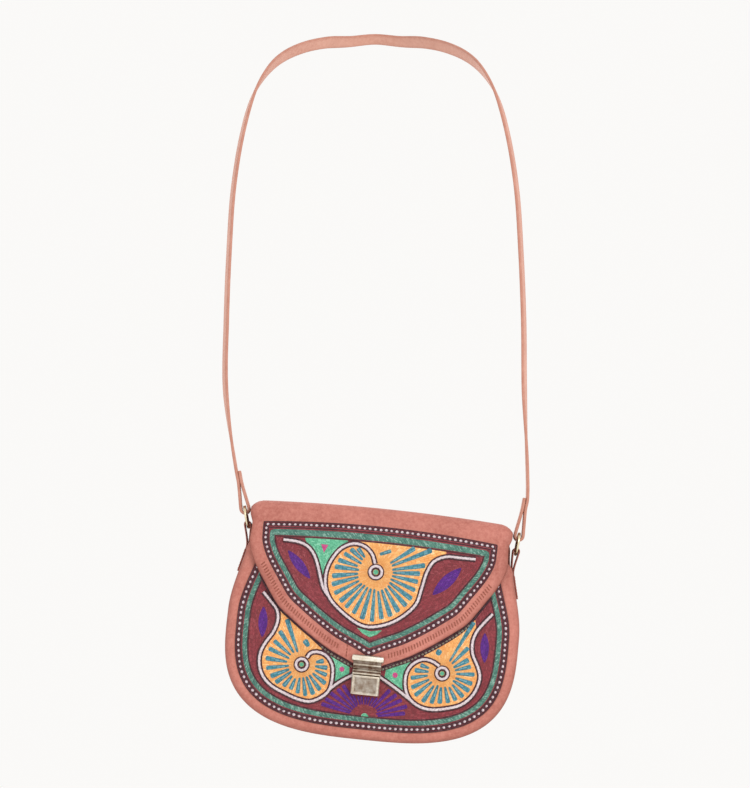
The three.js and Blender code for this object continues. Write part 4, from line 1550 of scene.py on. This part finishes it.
seam_box = [(-5, tab_foot + 3), (5, tab_foot + 3), (5, tab_foot + 23), (-5, tab_foot + 23)]
seam_box = even(seam_box, 3.2, closed=True)
tab_stitches = Work()
for side, word in side_names.items():
    work, _ = strip_work(tab_path(side), tab_width, tab_wall, spacing=1.0)
    make_piece(f"leather_tab_{word}", work, bag_leather, replaces=[f"tab_{word}"])
    for spot, along in zip(seam_box, directions(seam_box, closed=True) * 1.2):
        stitch((tab_stitches, tab_face(side)), spot - along, spot + along, 0.9, 0.35)
make_piece("tab_stitches", tab_stitches, seam_thread)

# %% [markdown]
# The strap is a single strip, more than a metre long. It starts folded back inside, runs round the
# ring, up the chest, over the shoulder and across the back of the neck, and down the other side.

# %% Strap
strap_route = {
    "height": (0.36, 0.47, 0.58, 0.68, 0.77, 0.84, 0.885, 0.92, 0.952, 0.975, 0.993),
    "side": (1, 1, 0.985, 0.96, 0.905, 0.835, 0.755, 0.66, 0.52, 0.36, 0.185),
    "depth": (0.09, 0.1, 0.1, 0.11, 0.14, 0.21, 0.31, 0.44, 0.61, 0.77, 0.95),
}


def strap_end(side):
    """The folded end, round the ring."""
    foot, up, out = ring_place(side)
    centre = foot + up * (2 * ring_radius - wire_rise(strap_width) - fit_gap + strap_loop)
    half = out * (strap_wall + fit_gap) / 2
    turn = half_turn(centre, out, -up, strap_loop + strap_wall / 2)
    inner = [centre - half + up * fold_back, centre - half + up * fold_meet]
    outer = [centre + half + up * fold_meet, centre + half + up * fold_back]
    return hang(np.vstack((inner, turn, outer)))


def strap_run(side):
    """One side of the strap, from its end up to the neck, in the shared frame."""
    height, share, depth = (np.array(part) for part in strap_route.values())
    behind = nape_behind - tab_middle
    route = join(side * share * strap_spread, -(1 - depth) * behind, -(1 - height) * nape_height)
    return np.vstack((strap_end(side), route))


nape = np.array([(0, math.sin(nape_roll), math.cos(nape_roll))]) * strap_wall / 2
strap_path = spline(np.vstack((strap_run(-1), nape, strap_run(1)[::-1])), per_span=24)
fold_top = gusset_top + ring_above + ring_outer + fold_back - bag_height / 2
fold_top += mouth_width / 2 * math.sin(hang_tilt) - nape_height


def strap_roll(path):
    """The strap turns its outer face a little to the front, and leans on the neck at its top."""
    turned = smoothstep(path[:, 2], fold_top, fold_top + turn_length)
    leaning = smoothstep(path[:, 2], -roll_share * nape_height, 0)
    return lerp(strap_turn * turned, -nape_roll, leaning)


strap_work, strap_line = strip_work(strap_path, strap_width, strap_wall, strap_roll)
print(f"strap: {lengths_along(strap_line)[-1]:.0f} mm long")
make_piece("leather_strap", strap_work, strap_leather, replaces=["strap"], hanging=False)

# %% [markdown]
# ## Lock
# The lock is cast in three parts: a plate clamped on the flap's tip, a housing on the front panel,
# and the face that slides down to open it. They are built up from blocks with rounded edges and
# rounded bars. The sliding face has a raised frame round a flat field.

# %% Blocks and bars of the lock
bar_width = 32.4
lock_width = 28.6
collar_top = flap_tip - fit_gap
collar_foot = collar_top - 5.3
lock_middle = (lock_top + lock_foot) / 2
lock_seat = front_face(flap_offset, lock_middle) - flap_recess - fit_gap
plate_seat = rest_on_front(0, lock_middle) - flap_wall - 2 * fit_gap


def new_shape():
    shape = bmesh.new()
    shape.verts.layers.float.new("wear_and_shade")
    return shape


def set_wear_and_shade(shape, points, wear_and_shade):
    for point in points:
        point[shape.verts.layers.float["wear_and_shade"]] = wear_and_shade


def block(shape, width, low, high, back, depth, edge, wear_and_shade=0.0):
    """A block with rounded edges: its back at a y, reaching forward by its depth."""
    made = bmesh.ops.create_cube(shape, size=1)["verts"]
    for v in made:
        v.co.x = flap_offset + v.co.x * width
        v.co.y = back - depth / 2 + v.co.y * depth
        v.co.z = (low + high) / 2 + v.co.z * (high - low)
    set_wear_and_shade(shape, made, wear_and_shade)
    edges = list(dict.fromkeys(e for v in made for e in v.link_edges))
    bmesh.ops.bevel(shape, geom=edges, offset=edge, segments=4, profile=0.5, affect="EDGES")


def ridge(shape, width, low, high, back, depth, corner, wear_and_shade=0.0):
    """A bar across the lock with a rounded face and rounded ends."""
    section = np.radians(np.linspace(-90, 90, 17))
    forward, up = np.cos(section) ** 0.7, np.sign(section) * np.abs(np.sin(section)) ** 0.7
    turns = np.radians(np.linspace(90, 0, 6))
    ends = [(-1, a) for a in turns] + [(1, a) for a in turns[::-1]]
    made = []
    for end, a in ends:
        x = flap_offset + end * (width / 2 - corner * (1 - math.sin(a)))
        less = 0.9 * corner * (1 - math.cos(a))
        reach, half = depth - less, (high - low) / 2 - less
        rows = zip(back - reach * forward, (low + high) / 2 + half * up)
        made += [shape.verts.new((x, y, z)) for y, z in rows]
    set_wear_and_shade(shape, made, wear_and_shade)
    for face in tube_faces(len(ends), len(section)):
        shape.faces.new([made[i] for i in face])


def lock_piece(name, shape, body, node):
    """Makes a piece of the lock. Its large flat faces stay flat."""
    work = Work()
    layer = shape.verts.layers.float["wear_and_shade"]
    shape.verts.index_update()
    wear_and_shade = [v[layer] for v in shape.verts]
    work.add([v.co for v in shape.verts], [[v.index for v in f.verts] for f in shape.faces], wear_and_shade=wear_and_shade)
    shape.free()
    piece = make_piece(name, work, lock_brass, body=body, replaces=[node])
    for polygon in piece.data.polygons:
        polygon.use_smooth = len(polygon.vertices) == 4 or polygon.area < 1e-5


# %% Plate, housing and face
plate = new_shape()
ridge(plate, bar_width, lock_top - 6.6, lock_top, plate_seat, 5, 1.4)
# The neck and the two bars below the top bar carry dark marks: painted shade and painted reflection of the
# leather under the bar, with some grime.
block(plate, lock_width, collar_top + 0.15, lock_top - 3.3, plate_seat, 2.6, 0.4, wear_and_shade=1.0)
ridge(plate, lock_width - 0.6, lock_top - 11.4, lock_top - 8.8, plate_seat, 3.4, 0.6, wear_and_shade=0.5)
ridge(plate, lock_width - 0.6, flap_tip + 0.4, flap_tip + 1.6, plate_seat, 3.0, 0.3, wear_and_shade=0.7)
block(plate, 20, collar_top - 4.7, lock_top - 3.3, plate_seat, 2, 0.3)
lock_piece("brass_lock_plate", plate, "bag", "lock_plate")

housing_back = 2.2
housing = new_shape()
# The housing's marks paint bands of shade and reflection across the collar, as on a rounded bar, with some
# grime.
block(housing, lock_width, lock_foot, collar_top, lock_seat, housing_back, 0.3, wear_and_shade=0.6)
block(housing, lock_width - 0.6, collar_foot + 0.2, collar_top - 0.2, lock_seat, 7.6, 0.6, wear_and_shade=1.0)
ridge(housing, lock_width, collar_top - 1.7, collar_top, lock_seat, 8.6, 0.5, wear_and_shade=0.45)
ridge(housing, lock_width, collar_foot, collar_foot + 2.9, lock_seat, 8.6, 0.8, wear_and_shade=0.25)
lock_piece("brass_lock_housing", housing, "bag", "lock_housing")

slide = new_shape()
slide_back = lock_seat - housing_back - fit_gap
block(slide, 27, lock_foot, collar_foot - fit_gap, slide_back, 5.6, 1.2)
slide.normal_update()
front_side = max((f for f in slide.faces if f.normal.y < -0.99), key=lambda f: f.calc_area())
# Each step narrows the front face by a margin, moves it and darkens it: grime with painted shade in the
# groove and the field, and more painted shade at its foot.
for margin, step, wear_and_shade in ((0, 0, 0.2), (1.6, 0, 0.2), (0.5, -0.5, 0.9), (0.7, 0, 0.66)):
    if margin:
        bmesh.ops.inset_region(slide, faces=[front_side], thickness=margin, depth=step)
    for v in front_side.verts:
        at_foot = v.co.z < lock_middle
        set_wear_and_shade(slide, [v], wear_and_shade + 0.3 * at_foot * (1 - wear_and_shade))
lock_piece("brass_lock_face", slide, "slide", "lock_slide")

# %% [markdown]
# ## The size
# The finish may stand a little proud of the solids, but it must not change the bag's size, so both
# boxes are printed side by side.

# %% Print both boxes and finish
visual_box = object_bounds()
boxes = {"cad": cad_box, "visual": visual_box}
{name: [list(corner) for corner in box] for name, box in boxes.items()}
print("cad box", cad_box, "visual box", visual_box)
